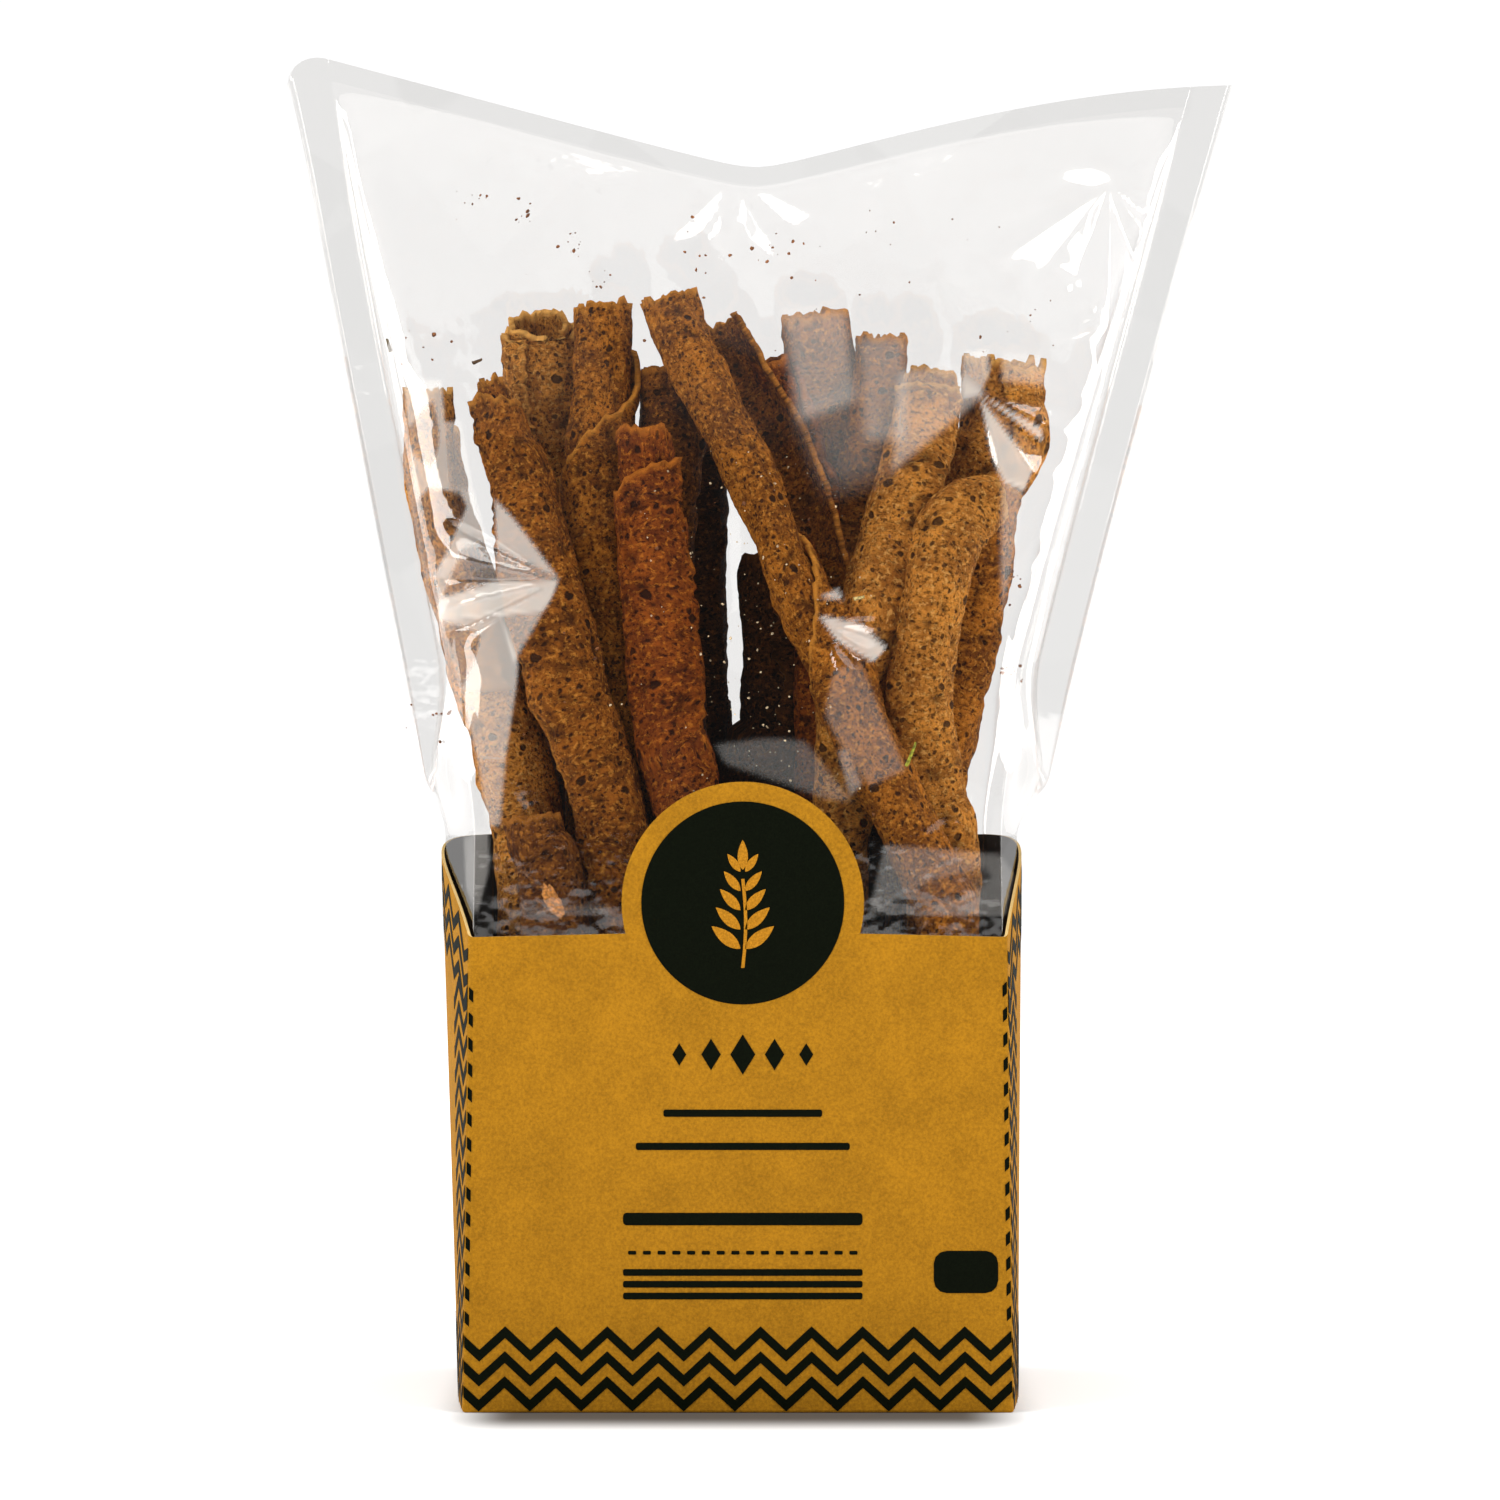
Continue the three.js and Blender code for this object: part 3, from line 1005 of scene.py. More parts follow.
GOLDEN = paint(226, 150, 56)
CRUSTS = {name: crust(f"crust_{name}", *look) for name, look in {
    "plain": (paint(116, 64, 18), paint(182, 110, 38), GOLDEN, 0.45, 0.6),
    "porous": (paint(110, 60, 14), paint(172, 100, 28), GOLDEN, 0.85, 0.6),
    "mottled": (paint(114, 62, 12), paint(198, 120, 34), GOLDEN, 0.35, 0.9),
    "reddish": (paint(108, 50, 12), paint(162, 82, 20), paint(214, 126, 36), 0.85, 0.6),
    "pale": (paint(154, 93, 31), paint(228, 150, 58), paint(240, 178, 92), 0.6, 0.9),
    "brown": (paint(84, 44, 14), paint(136, 80, 26), paint(196, 124, 44), 0.5, 0.7),
    # painted shade: the sticks at the back are darkened for the shadow they stand in
    "dark": (paint(62, 34, 11), paint(96, 54, 20), paint(136, 82, 30), 0.5, 0.6),
}.items()}
print(len(CRUSTS), "crusts")

# %% [markdown]
# ## Rolling a stick
# Each stick is one sheet. A grid operator makes the sheet, and every vertex moves to
# its place on a spiral round the centre line: the rows run down the stick and the
# columns run in from the free edge. The sheet's end and its free edge are torn by
# noise, bubbles are pressed in, and Solidify gives the sheet its thickness.

# %% Tears, bubbles and the spiral
SHEET = 1.25  # thickness
LAYER = 1.75  # from one turn to the next
INNER_TURNS = 0.86  # a turn's mean length as a share of the outermost one's
HIDDEN_BELOW = 88.0  # the front panel hides what is lower
FOOT_CLEARANCE = 1.9
ROW_STEP, HIDDEN_ROW_STEP = 0.95, 5
COLUMN_STEP = {True: 1.0, False: 1.6}  # of a stick that shows well, and of one at the back
BUBBLE_AREA = 55  # square millimetres of the most porous sheet for each pit
PIT_CELL = 5
PIT_DEPTH = 0.6
LUMPS = ((0.36, 0.28), (0.2, 0.75))  # height, and how many to a millimetre
BUBBLES = {"porous": 1.0, "reddish": 0.8, "pale": 0.6, "brown": 0.5, "plain": 0.4, "dark": 0.4,
           "mottled": 0.3}


def centre_line(stick, count):
    """The stick's centre line in space, with the radius as its fourth number."""
    line = []
    for point in LINES[stick.name]:
        k = (point.y - LEVELS[0]) / LEVEL_STEP
        low = min(len(LEVELS) - 2, max(0, int(k)))
        depth = mix(DEPTHS[stick.name][low], DEPTHS[stick.name][low + 1], unit(k - low))
        line.append(Vector((*seen(point.x, point.y, depth), point.z)))
    return follow(line, count)


def row_shares(length, visible):
    """Rows are close together where they show and far apart in the tray."""
    fine = int(visible / ROW_STEP)
    coarse = int(max(0.0, length - visible) / HIDDEN_ROW_STEP) + 1
    return ([visible * k / fine for k in range(fine)]
            + [mix(visible, length, k / coarse) for k in range(coarse + 1)])


def tear(x, seed, size):
    """A torn edge: a slow wave, a quicker one, and small teeth."""
    slow = ripple(x * 0.12, seed, 0)
    quick = ripple(x * 0.45, seed, 5)
    teeth = abs(ripple(x * 1.3, seed, 9))
    return size * (0.7 * slow + 0.6 * quick + 0.7 * teeth)


def bubbles(stick, length, width, seed):
    """Places and sizes of the pits that are deep enough to model, sorted into cells."""
    draw = random.Random(seed)
    near = {}
    for _ in range(int(length * width / BUBBLE_AREA * BUBBLES[stick.crust])):
        across, down = draw.uniform(0, width), draw.uniform(4, length)
        cell = (int(across // PIT_CELL), int(down // PIT_CELL))
        near.setdefault(cell, []).append((across, down, draw.uniform(0.9, 1.9)))
    return near


def pit_at(near, across, down):
    """How far a place of the sheet lies inside a pit, from 0 to 1."""
    sunk = 0.0
    for i in (-1, 0, 1):
        for j in (-1, 0, 1):
            cell = (int(across // PIT_CELL) + i, int(down // PIT_CELL) + j)
            for x, y, size in near.get(cell, ()):
                sunk = max(sunk, ease(1.25 - hypot(x - across, y - down) / size))
    return sunk


def roll_radius(stick, base, seed, along, angle, turns_in):
    """The roll's radius: a spiral, squashed and dented, with a loose free edge."""
    ring = Vector((cos(angle), sin(angle), 0))
    grow = 1 + 0.05 * ripple(along * 0.04, seed * 1.7, 0)
    grow *= 1 + 0.05 * cos(2 * angle + 3 * ripple(along * 0.015, seed, 7) + seed)
    radius = base * grow - SHEET / 2 + LAYER * (0.6 - turns_in)
    radius += 0.8 * ripple(ring.x * 1.1, ring.y * 1.1, along * 0.07 + seed)
    radius += 0.5 * ripple(ring.x * 3.0, ring.y * 3.0, along * 0.2 + seed)
    loose = ripple(along * 0.05, seed, 8)
    radius += (0.1 + 0.7 * loose) * ease(1 - turns_in * 7)
    flare = ripple(ring.x * 1.5, ring.y * 1.5, seed + 3)
    return radius + 1.2 * flare * exp(-along / 7)


print("sheet", SHEET, "mm thick, a turn every", LAYER, "mm")

# %% Rolled sheets
def make_stick(stick, seed):
    line = centre_line(stick, 200)
    steps = [(b - a).xyz.length for a, b in zip(line, line[1:])]
    length = sum(steps)
    visible = sum(step for step, a in zip(steps, line) if a.z > HIDDEN_BELOW)
    rows = row_shares(length, visible)
    width = 2 * pi * stick.radius * stick.turns * INNER_TURNS
    columns = int(width / COLUMN_STEP[stick.fine])
    near = bubbles(stick, length, width, seed)
    bm = bmesh.new()
    sheet = bm.loops.layers.uv.new("sheet")
    bmesh.ops.create_grid(bm, x_segments=columns, y_segments=len(rows) - 1, size=0.5,
                          calc_uvs=True)
    pit_shade_layer = bm.verts.layers.float.new("pit")
    crisp_highlit_edge_layer = bm.verts.layers.float.new("crisp_highlit_edge")
    along_layer = bm.verts.layers.float.new("along")
    for vert in bm.verts:
        share = vert.co.x + 0.5  # 0 at the core, 1 at the free edge
        down = rows[round((0.5 - vert.co.y) * (len(rows) - 1))]
        inward = (1 - share) * width
        lag = tear(down, seed + 2, 2.2) + 4.5 * ripple(down * 0.03, seed, 2)
        turns_in = stick.turns * (1 - share) + lag * share ** 6 / (2 * pi * stick.radius)
        lead = max(0.0, stick.step + stick.slant * turns_in) * ease((1.08 - turns_in) * 7)
        start = lead + tear(share * width, seed, stick.ragged) + 0.6 * stick.ragged
        along = down + start * max(0.0, 1 - down / max(16.0, 1.4 * start + 12))
        along = min(length, max(0.0, along))
        spot = along / length * (len(line) - 1)
        k = min(len(line) - 2, int(spot))
        at = line[k].lerp(line[k + 1], spot - k)
        way = (line[max(0, k - 2)] - line[min(len(line) - 1, k + 3)]).xyz.normalized()
        side = Vector((0, 1, 0)).cross(way).normalized()
        front = side.cross(way).normalized()
        angle = radians(stick.seam + stick.twist * along / 150) - stick.hand * 2 * pi * turns_in
        radius = roll_radius(stick, at.w, seed, along, angle, turns_in)
        for height, fineness in LUMPS:
            radius += height * ripple(inward * fineness, along * fineness, seed)
        sunk = pit_at(near, inward, along)
        radius -= PIT_DEPTH * sunk
        centre = at.xyz + side * (0.6 * ripple(along * 0.03, seed, 4))
        vert.co = centre + side * (radius * cos(angle))
        vert.co += front * (radius * stick.flat * sin(angle))
        vert.co.z = max(vert.co.z, FOOT_CLEARANCE)
        # how deep the dent is, which the crust darkens as painted shade
        vert[pit_shade_layer] = 0.75 * sunk
        # the golden band at the tip and the free edge, partly a painted highlight
        free_edge_gold = 0.35 + 0.9 * ripple(along * 0.12, seed, 6)
        vert[crisp_highlit_edge_layer] = max(ease(1 - (along - start) / 1.8), free_edge_gold * ease(1 - inward / 1.2))
        vert[along_layer] = along
    for face in bm.faces:
        for loop in face.loops:
            u = loop[sheet].uv.x * width / 10
            loop[sheet].uv = (u + 3.7 * seed, loop.vert[along_layer] / 10 + 1.9 * seed)
    return bm


def roll(stick, seed):
    bm = make_stick(stick, seed)
    piece = finish(bm, "stick_" + stick.name, [CRUSTS[stick.crust]])
    thicken(piece, "sheet", SHEET, 0)


for number, stick in enumerate(STICKS):
    roll(stick, number + 1)
print("rolled", len(STICKS), "sticks")

# %% [markdown]
# ## Clear film
# Clear film is seen by what it mirrors. Most light passes straight through it, so its
# shader is mostly Transparent, with a share of mirror that grows towards grazing angles
# as the Fresnel node says. Where the film is crumpled or turned towards a lamp it shows
# white reflections of the soft boxes, and these are painted: an attribute, the veil,
# adds a share of plain white there. A double layer, at the welds, passes a little less
# light.

# %% Film finishes
MIRROR_LIMIT = 0.24  # crumpled film is never a full mirror, even edge on
# the colour of the painted reflections of the soft boxes
PAINTED_REFLECTION_WHITE = (1.0, 0.94, 0.86, 1.0)


def clear_film(name, passes, extra):
    f = Finish(name)
    place = f.place()
    streaks = f.node("Mapping", {}, {"Vector": place, "Scale": (0.15, 1.0, 1.0)})
    scratch = f.noise(streaks, 3000, 2.0, 0.6).step(0.72, 0.8)
    reflection_mottle = f.noise(place, 22, 3.0, 0.6)
    facets = f.channel(f.cells(place, 30, "Color"), 0)
    # the veil attribute paints the reflections of the soft boxes as milky white
    reflection_veil = f.painted("reflection_veil") * (reflection_mottle * 0.3 + 0.85)
    normal = f.bump(f.noise(place, 160, 2.0, 0.5), 0.0001)
    glance = f.node("Fresnel", {}, {"IOR": 1.5, "Normal": normal})
    through = f.node("BsdfTransparent", {}, {"Color": passes})
    share = f.least(glance * 1.3, MIRROR_LIMIT) + facets * 0.04 + scratch * 0.02 + extra + reflection_veil
    painted_reflection_share = reflection_veil.math("DIVIDE", reflection_veil, share)
    mirror = f.node("BsdfPrincipled", {}, {
        "Base Color": f.blend(painted_reflection_share, (1.0, 0.98, 0.96, 1.0), PAINTED_REFLECTION_WHITE),
        "Metallic": 1 - painted_reflection_share,
        "Roughness": 0.05,
        "Normal": normal,
    })
    return f.close(f.node("MixShader", {}, {0: share, 1: through, 2: mirror}))


FILM = clear_film("film_clear", (0.95, 0.944, 0.938, 1.0), 0.0)
WELD = clear_film("film_welded", (0.938, 0.934, 0.928, 1.0), 0.01)
print("film finishes:", FILM.name, WELD.name)

# %% [markdown]
# ## Folds of the film
# Thin film can't stretch, so it dents into flat facets that meet in sharp creases, and
# the facets of a dent fan out from one point. `Fan` is such a dent and `Crease` a long
# straight fold. Each gives how far the film stands out or in at a place.

# %% Fans and creases
class Fan:
    """A dent of flat facets round a point. Angles are in degrees, 0 to the right."""

    def __init__(self, x, z, aim, spread, size, slope, facets):
        self.x, self.z = x, z
        self.aim, self.spread = aim, spread
        self.size = size
        self.slope = slope
        self.facets = facets

    def height(self, x, z):
        away = hypot(x - self.x, z - self.z)
        if away >= self.size or away < 1e-6:
            return 0.0
        angle = degrees(atan2(z - self.z, x - self.x)) - self.aim
        angle = (angle + 180) % 360 - 180
        if abs(angle) > self.spread:
            return 0.0
        wave = abs(((angle / self.spread + 1) * self.facets / 2) % 1 - 0.5) * 2
        edge = ease((1 - abs(angle) / self.spread) * self.facets)
        fade = ease((1 - away / self.size) * 1.6)
        return self.slope * away * (wave - 0.4) * fade * edge


class Crease:
    """A sharp fold along a line: positive stands out."""

    def __init__(self, start, end, width, height):
        self.start, self.end = Vector(start), Vector(end)
        self.width = width
        self.tall = height

    def height(self, x, z):
        run = self.end - self.start
        t = (Vector((x, z)) - self.start).dot(run) / run.length_squared
        if t < -0.05 or t > 1.05:
            return 0.0
        away = (Vector((x, z)) - self.start - run * t).length
        ends = ease(t * 6 + 0.3) * ease((1 - t) * 6 + 0.3)
        return self.tall * max(0.0, 1 - away / self.width) * ends


FRONT_FOLDS = [  # fans: x, z, aim, spread, size, slope, facets; creases: ends, width, height
    Fan(-37.5, 173.0, 180, 40, 30, 0.30, 3),
    Fan(50.5, 211.8, -42, 48, 24, 0.12, 3),
    Fan(17.5, 164.5, -35, 50, 15, 0.30, 3),
    Fan(-1.0, 258.0, -80, 70, 22, 0.16, 4),
    Fan(77.0, 255.0, -90, 75, 34, 0.14, 4),
    Fan(28.0, 104.0, 25, 60, 30, 0.26, 4),
    Crease((-81.7, 272), (-70.3, 215), 10, 1.3),
    Crease((73.2, 258), (72.1, 225), 9, 1.4),
    Crease((72.1, 225), (77.3, 210), 8, 1.3),
    Crease((77.3, 210), (65, 177), 9, 1.3),
    Crease((64, 180), (63, 124), 7, 1.2),
    Crease((92.0, 262), (74, 196), 12, 1.4),
    Crease((70.0, 236), (56, 218), 8, 1.0),
    Crease((-46.0, 158), (-44, 104), 9, 1.0),
    Crease((26.0, 106), (52, 118), 5, 0.9),
]
print(len(FRONT_FOLDS), "folds on the front")

# %% [markdown]
# A veil is a painted reflection: a facet of film, with straight sides given by its
# corners, that shows a soft box as plain white. Inside, it has its full strength, which
# falls to nothing over a soft margin at its sides. A clear window is a veil of strength
# below nothing, and takes away what lies under it.

# %% Veils, the painted reflections
class ReflectionVeil:
    """A facet of painted reflection, in plain white. Corners (x, z) run clockwise as the camera
    sees them.
    """

    def __init__(self, strength, corners, margin=1.0):
        self.strength = strength
        self.corners = [Vector(corner) for corner in corners]
        self.margin = margin
        self.low = [min(corner[axis] for corner in corners) - margin for axis in (0, 1)]
        self.high = [max(corner[axis] for corner in corners) + margin for axis in (0, 1)]

    def cover(self, x, z):
        if not (self.low[0] < x < self.high[0] and self.low[1] < z < self.high[1]):
            return 0.0
        inside = 1.0
        for a, b in zip(self.corners, self.corners[1:] + self.corners[:1]):
            run = b - a
            away = (run.y * (x - a.x) - run.x * (z - a.y)) / run.length
            inside *= ease(away / self.margin + 0.5)
        return self.strength * inside


# painted reflections of the soft boxes, facet by facet, and clear windows in them
REFLECTION_VEILS = [
    # the left strip, from top to bottom
    ReflectionVeil(0.27, [(-69.4, 214.3), (-61.7, 214.7), (-59.9, 191.9), (-67.4, 191.9)]),
    ReflectionVeil(0.20, [(-61.1, 206), (-57.6, 206), (-55.1, 191.9), (-59.9, 191.9)]),
    ReflectionVeil(0.26, [(-67.4, 191.9), (-55.1, 191.9), (-50.1, 172.9), (-62, 168.6)]),
    ReflectionVeil(0.40, [(-62.4, 168.6), (-50.1, 172.9), (-37.4, 173.1), (-38.7, 169.4), (-40.5, 166.7),
                (-62, 165)], 1.1),
    ReflectionVeil(0.24, [(-49.5, 166.5), (-40.5, 166.7), (-46.6, 156.1)], 1.2),
    ReflectionVeil(0.29, [(-62, 165), (-49.5, 166.5), (-45.7, 156.1), (-46.2, 150.3), (-57.6, 150.3)]),
    ReflectionVeil(0.25, [(-57.6, 150.3), (-46.2, 150.3), (-48.4, 135.7), (-54.1, 135.7)]),
    ReflectionVeil(0.21, [(-54.1, 135.7), (-48.4, 135.7), (-49.5, 122.2), (-52, 122)], 1.4),
    # the clear windows in the left strip
    ReflectionVeil(-0.19, [(-63.4, 210.4), (-62.2, 205.4), (-62.2, 200.6), (-63.8, 196.6),
                 (-67.4, 199.1), (-69, 204.3)]),
    ReflectionVeil(-0.25, [(-64, 192.5), (-57.6, 191.2), (-56.3, 188.3), (-62, 176), (-64, 173.1),
                 (-66.5, 189.8)]),
    ReflectionVeil(-0.20, [(-57.2, 179.8), (-52.8, 180.8), (-50.1, 173.3), (-55.7, 171.1), (-61.3, 169.8)]),
    ReflectionVeil(-0.20, [(-61.7, 164.6), (-57.4, 163.6), (-53.6, 161.9), (-54.1, 158.2), (-57.6, 150.3)]),
    # the facet over the left front stick
    ReflectionVeil(0.32, [(-50.5, 189.8), (-47, 186.4), (-37.6, 173.8), (-50.1, 179.8)]),
    ReflectionVeil(0.16, [(-50.1, 179.8), (-37.6, 173.8), (-37.6, 173.1), (-50.1, 173.1)]),
    # over the backs of the middle and the right
    ReflectionVeil(0.17, [(9.1, 228.9), (22.5, 228.9), (24.9, 210.6), (12.9, 206.4)], 4),
    ReflectionVeil(0.07, [(12.9, 208.1), (24.9, 211.6), (31.6, 196), (19.1, 191.9)], 9),
    ReflectionVeil(0.15, [(24.7, 223.5), (34.7, 223.5), (34.7, 202.2), (26.6, 202.2)], 4),
    ReflectionVeil(0.17, [(33.7, 216.4), (44.1, 217.6), (51.4, 212), (32.2, 196)], 2.5),
    # the fan at the right
    ReflectionVeil(0.24, [(46.8, 220.5), (52, 221), (52.4, 216.4), (50.1, 211.6), (46.6, 211)]),
    ReflectionVeil(0.18, [(55.1, 220.5), (62.8, 219.7), (64.2, 213.7), (55.1, 214.7)], 2),
    ReflectionVeil(0.40, [(50.3, 211.8), (63, 204.7), (63.4, 202)], 0.7),
    ReflectionVeil(0.40, [(50.5, 210.8), (61.5, 196.6), (59.5, 191.9), (55.1, 193.7), (52.8, 199.1)], 0.9),
    ReflectionVeil(0.16, [(55.1, 193.9), (59.3, 193.1), (57.4, 177.3), (55.1, 166.9), (54.5, 177.3)], 2),
    # small bright facets in the middle
    ReflectionVeil(0.38, [(17, 165.7), (25.4, 164.2), (30.8, 159), (28.1, 156.1), (20.4, 160.7)], 0.9),
    ReflectionVeil(0.30, [(17, 169.6), (20.8, 171.3), (21.8, 169)], 0.9),
    # low in the middle and over the tray's dark inside
    ReflectionVeil(0.07, [(20, 154.6), (25.4, 155.7), (34.7, 133.6), (27.4, 130.5), (23.3, 135.7),
                (18.1, 145.1)], 1.4),
    ReflectionVeil(0.06, [(-4.6, 138.8), (6.7, 140.3), (13.9, 139.5), (23.3, 127.4), (19.1, 127.4),
                (6.7, 131.6), (-2.5, 134.9)], 1.6),
    ReflectionVeil(0.12, [(20.8, 137.8), (22.5, 137.8), (25.8, 130.7), (23.3, 128.4)], 1.2),
    ReflectionVeil(0.13, [(-57, 119.5), (-52, 121.6), (-51.8, 112.8), (-54.3, 103.7), (-56.5, 108.7)], 1.1),
    ReflectionVeil(0.05, [(-44.5, 105.4), (-26.6, 105.4), (-26.6, 100.4), (-49.5, 100.4)], 1.4),
    ReflectionVeil(0.08, [(30.6, 118), (54.5, 116), (58.2, 110.8), (55.5, 101), (29.5, 101),
                (27.4, 104.5)], 1.4),
    ReflectionVeil(-0.06, [(27.4, 103.5), (39.9, 110.8), (51.4, 113.5), (52.8, 111.2), (49.3, 108.3),
                 (29.5, 101.4)], 1.2),
]


def reflection_veil_at(x, z):
    return unit(sum(reflection_veil.cover(x, z) for reflection_veil in REFLECTION_VEILS))


print(len(REFLECTION_VEILS), "veils")

# %% [markdown]
# ## The film's mesh
# One grid is wrapped round the bag: its first half is the front, from the left fin to
# the right one, and its second half is the back. The lowest rows line the tray, and the
# rows above it open out into the free form. The folds, and a fine crumple like a
# landscape of ridges, move each vertex out or in.

# %% Film points
FRONT_COLUMNS = 320
BACK_COLUMNS = 90
ALL_COLUMNS = FRONT_COLUMNS + BACK_COLUMNS
LINING_ROWS = 6
FREE_ROWS = 208
INSET = CARD + GAP  # from the card's outside to the film, at the floor and the walls
SIDE_SHARE = 0.17  # of the way round the front that half a side of the tray takes
LINED_HEIGHT = 16.0  # the tray's last millimetres, with rows as fine as the free film's
LINED_SHARE = 0.1  # of the fine rows


def lined_point(t, z):
    """Half of the tray's inside, from the middle of its left to that of its right."""
    width, depth = half_width(z) - INSET, HALF_DEPTH - INSET
    from_end = min(t, 1 - t)
    if from_end >= SIDE_SHARE:
        return mix(-width, width, (t - SIDE_SHARE) / (1 - 2 * SIDE_SHARE)), -depth
    share = 0.5 * (1 - from_end / SIDE_SHARE)
    side, sign = ("left", -1) if t < 0.5 else ("right", 1)
    return sign * (width + side_bow(side, z) * sin(pi * share)), mix(-depth, depth, share)


def free_point(share, t):
    left, right = reach(share)
    fin = SIDE_SEAL * ease(share * 4)
    depth = max(SEAL_HALF_THICKNESS, half_depth(share))
    power = mix(*ROUNDNESS, share)
    if t < FIN_SHARE:
        return -left + fin * t / FIN_SHARE, -min(SEAL_HALF_THICKNESS, 3 * t)
    if t > 1 - FIN_SHARE:
        return right - fin * (1 - t) / FIN_SHARE, -min(SEAL_HALF_THICKNESS, 3 * (1 - t))
    across = -cos(pi * (t - FIN_SHARE) / (1 - 2 * FIN_SHARE))
    centre = (right - left) / 2
    half = (left + right) / 2 - fin
    bulge = depth * (1 - abs(across) ** power) ** (1 / power)
    return centre + half * across, -max(SEAL_HALF_THICKNESS, bulge)


def crumple(x, z, seed):
    """Ridges of film at two scales."""
    place = Vector((x, z, 0))
    bend = 9 * Vector((rough(place, 50, seed), rough(place, 50, seed + 4), 0))
    broad = 1 - 2.4 * abs(rough(place + bend, 62, seed + 1))
    small = 1 - 2.4 * abs(rough(place + bend, 17, seed + 2))
    return (broad - 0.45) + 0.14 * small


def puckers(x, z):
    """Short upright waves where the weld gathers the film."""
    below = top_edge(x) - z
    return 0.5 * rough((x, below * 0.25, 0), 5.5, 9) * exp(-below / 12)


def on_front_plane(point):
    """Where the camera sees a point, on the plane of the front panel."""
    spread = (FRONT_PLANE - EYE.y) / (point.y - EYE.y)
    return EYE.x + (point.x - EYE.x) * spread, EYE.z + (point.z - EYE.z) * spread


def film_shift(point, front):
    shift = puckers(point.x, point.z)
    if front:
        place = on_front_plane(point)
        shift += sum(fold.height(*place) for fold in FRONT_FOLDS)
        return shift + crumple(point.x, point.z, 3.0)
    return shift + crumple(point.x, point.z, 11.0) * 1.2


def round_bag(column):
    """The share of the way from the left fin to the right one, and whether at the back."""
    if column > FRONT_COLUMNS:
        return (ALL_COLUMNS - column) / BACK_COLUMNS, column < ALL_COLUMNS
    return column / FRONT_COLUMNS, False


def film_vertex(t, back, row):
    share = (row - LINING_ROWS) / FREE_ROWS
    if share < LINED_SHARE:
        z = mix(SHOULDER - LINED_HEIGHT, SHOULDER, share / LINED_SHARE)
        if row <= LINING_ROWS:
            z = mix(INSET, SHOULDER - LINED_HEIGHT, row / LINING_ROWS)
        x, y = lined_point(t, z)
        return Vector((x, -y if back else y, z)), 0.0
    share = (share - LINED_SHARE) / (1 - LINED_SHARE)
    x, y = free_point(share, t)
    lined = lined_point(t, SHOULDER)
    blend = ease(share * mix(12, 3, ease(5 * min(t, 1 - t))))
    x, y = mix(lined[0], x, blend), mix(lined[1], y, blend)
    z = mix(SHOULDER, top_edge(x), share)
    return Vector((x, -y if back else y, z)), share


rows = LINING_ROWS + FREE_ROWS
print("film grid of", ALL_COLUMNS, "columns and", rows, "rows")

# %% Film mesh
film_mesh = bmesh.new()
bmesh.ops.create_grid(film_mesh, x_segments=ALL_COLUMNS, y_segments=rows, size=0.5)
weld_layer = film_mesh.verts.layers.float.new("weld")
reflection_veil_layer = film_mesh.verts.layers.float.new("reflection_veil")
for vert in film_mesh.verts:
    t, back = round_bag(round((vert.co.x + 0.5) * ALL_COLUMNS))
    row = round((vert.co.y + 0.5) * rows)
    point, share = film_vertex(t, back, row)
    fin = ease((FIN_SHARE * 1.02 - min(t, 1 - t)) * 200) * ease((share - 0.1) * 8)
    top = ease((share - TOP_SEAL_SHARE) * 200)
    vert[weld_layer] = max(fin, top)
    free = ease(share * 5) * ease((min(t, 1 - t) - FIN_SHARE) * 14) * ease((1 - share) * 9)
    shift = film_shift(point, not back) * free
    point.y += shift if back else -shift
    flutter = rough((0, 0, point.z), 38, 5 if point.x < 0 else 6) * (1 - free) * ease(share * 5)
    point.y += 1.6 * flutter * ease((0.5 - min(t, 1 - t)) * 4) * ease((1 - share) * 6)
    vert.co = point
    # the front carries the painted reflections, placed as the camera sees them
    if not back and row > LINING_ROWS:
        vert[reflection_veil_layer] = reflection_veil_at(*on_front_plane(point))
bmesh.ops.remove_doubles(film_mesh, verts=film_mesh.verts, dist=0.01)
open_edges = [edge for edge in film_mesh.edges
              if edge.is_boundary and max(vert.co.z for vert in edge.verts) < INSET + 0.01]
bmesh.ops.edgeloop_fill(film_mesh, edges=open_edges)
bmesh.ops.recalc_face_normals(film_mesh, faces=film_mesh.faces)
for face in film_mesh.faces:
    level = sum(vert[weld_layer] for vert in face.verts) / len(face.verts)
    face.material_index = 1 if level > 0.5 else 0
film = finish(film_mesh, "film", [FILM, WELD])
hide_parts("film_bag")

# %% [markdown]
# ## Crumbs and herbs
# Crumbs cling to the inside of the film, in loose clusters near the tips and singly
# elsewhere. Each is a small ball whose points are moved by noise. A few needles of
# rosemary and one larger lump lie among them. Fine pale specks mark small glints on the
# film: they are real specks, and their pale colour is a painted highlight. All are placed
# by what the camera sees, just behind the front film.

# %% Crumbs
CLUSTERS = [  # x, z, spread, how many
    (-54.7, 252, 4.5, 9), (-44.3, 249, 4.0, 8), (-33.9, 243, 3.5, 9), (-28.7, 236, 3.0, 7),
    (-66.1, 223, 4.0, 6), (-64, 144, 5.0, 8), (56.5, 174, 3.0, 9), (57, 154, 3.0, 8),
    (8, 241, 9.0, 9), (30, 246, 12.0, 7), (62, 226, 7.0, 5), (-10, 245, 6.0, 5),
]
LOOSE_CRUMBS = 70
# pale specks whose colour paints the glints on them
PALE_GLINT_SPECKS = 150
BEHIND_FILM = 1.6


def inside_film(x, z):
    """Just behind the front film, at the place that the camera sees over (x, z)."""
    depth = HALF_DEPTH - CARD - GAP if z < SHOULDER else film_depth(x, z)
    return seen(x, z, -max(0.4, depth - BEHIND_FILM))


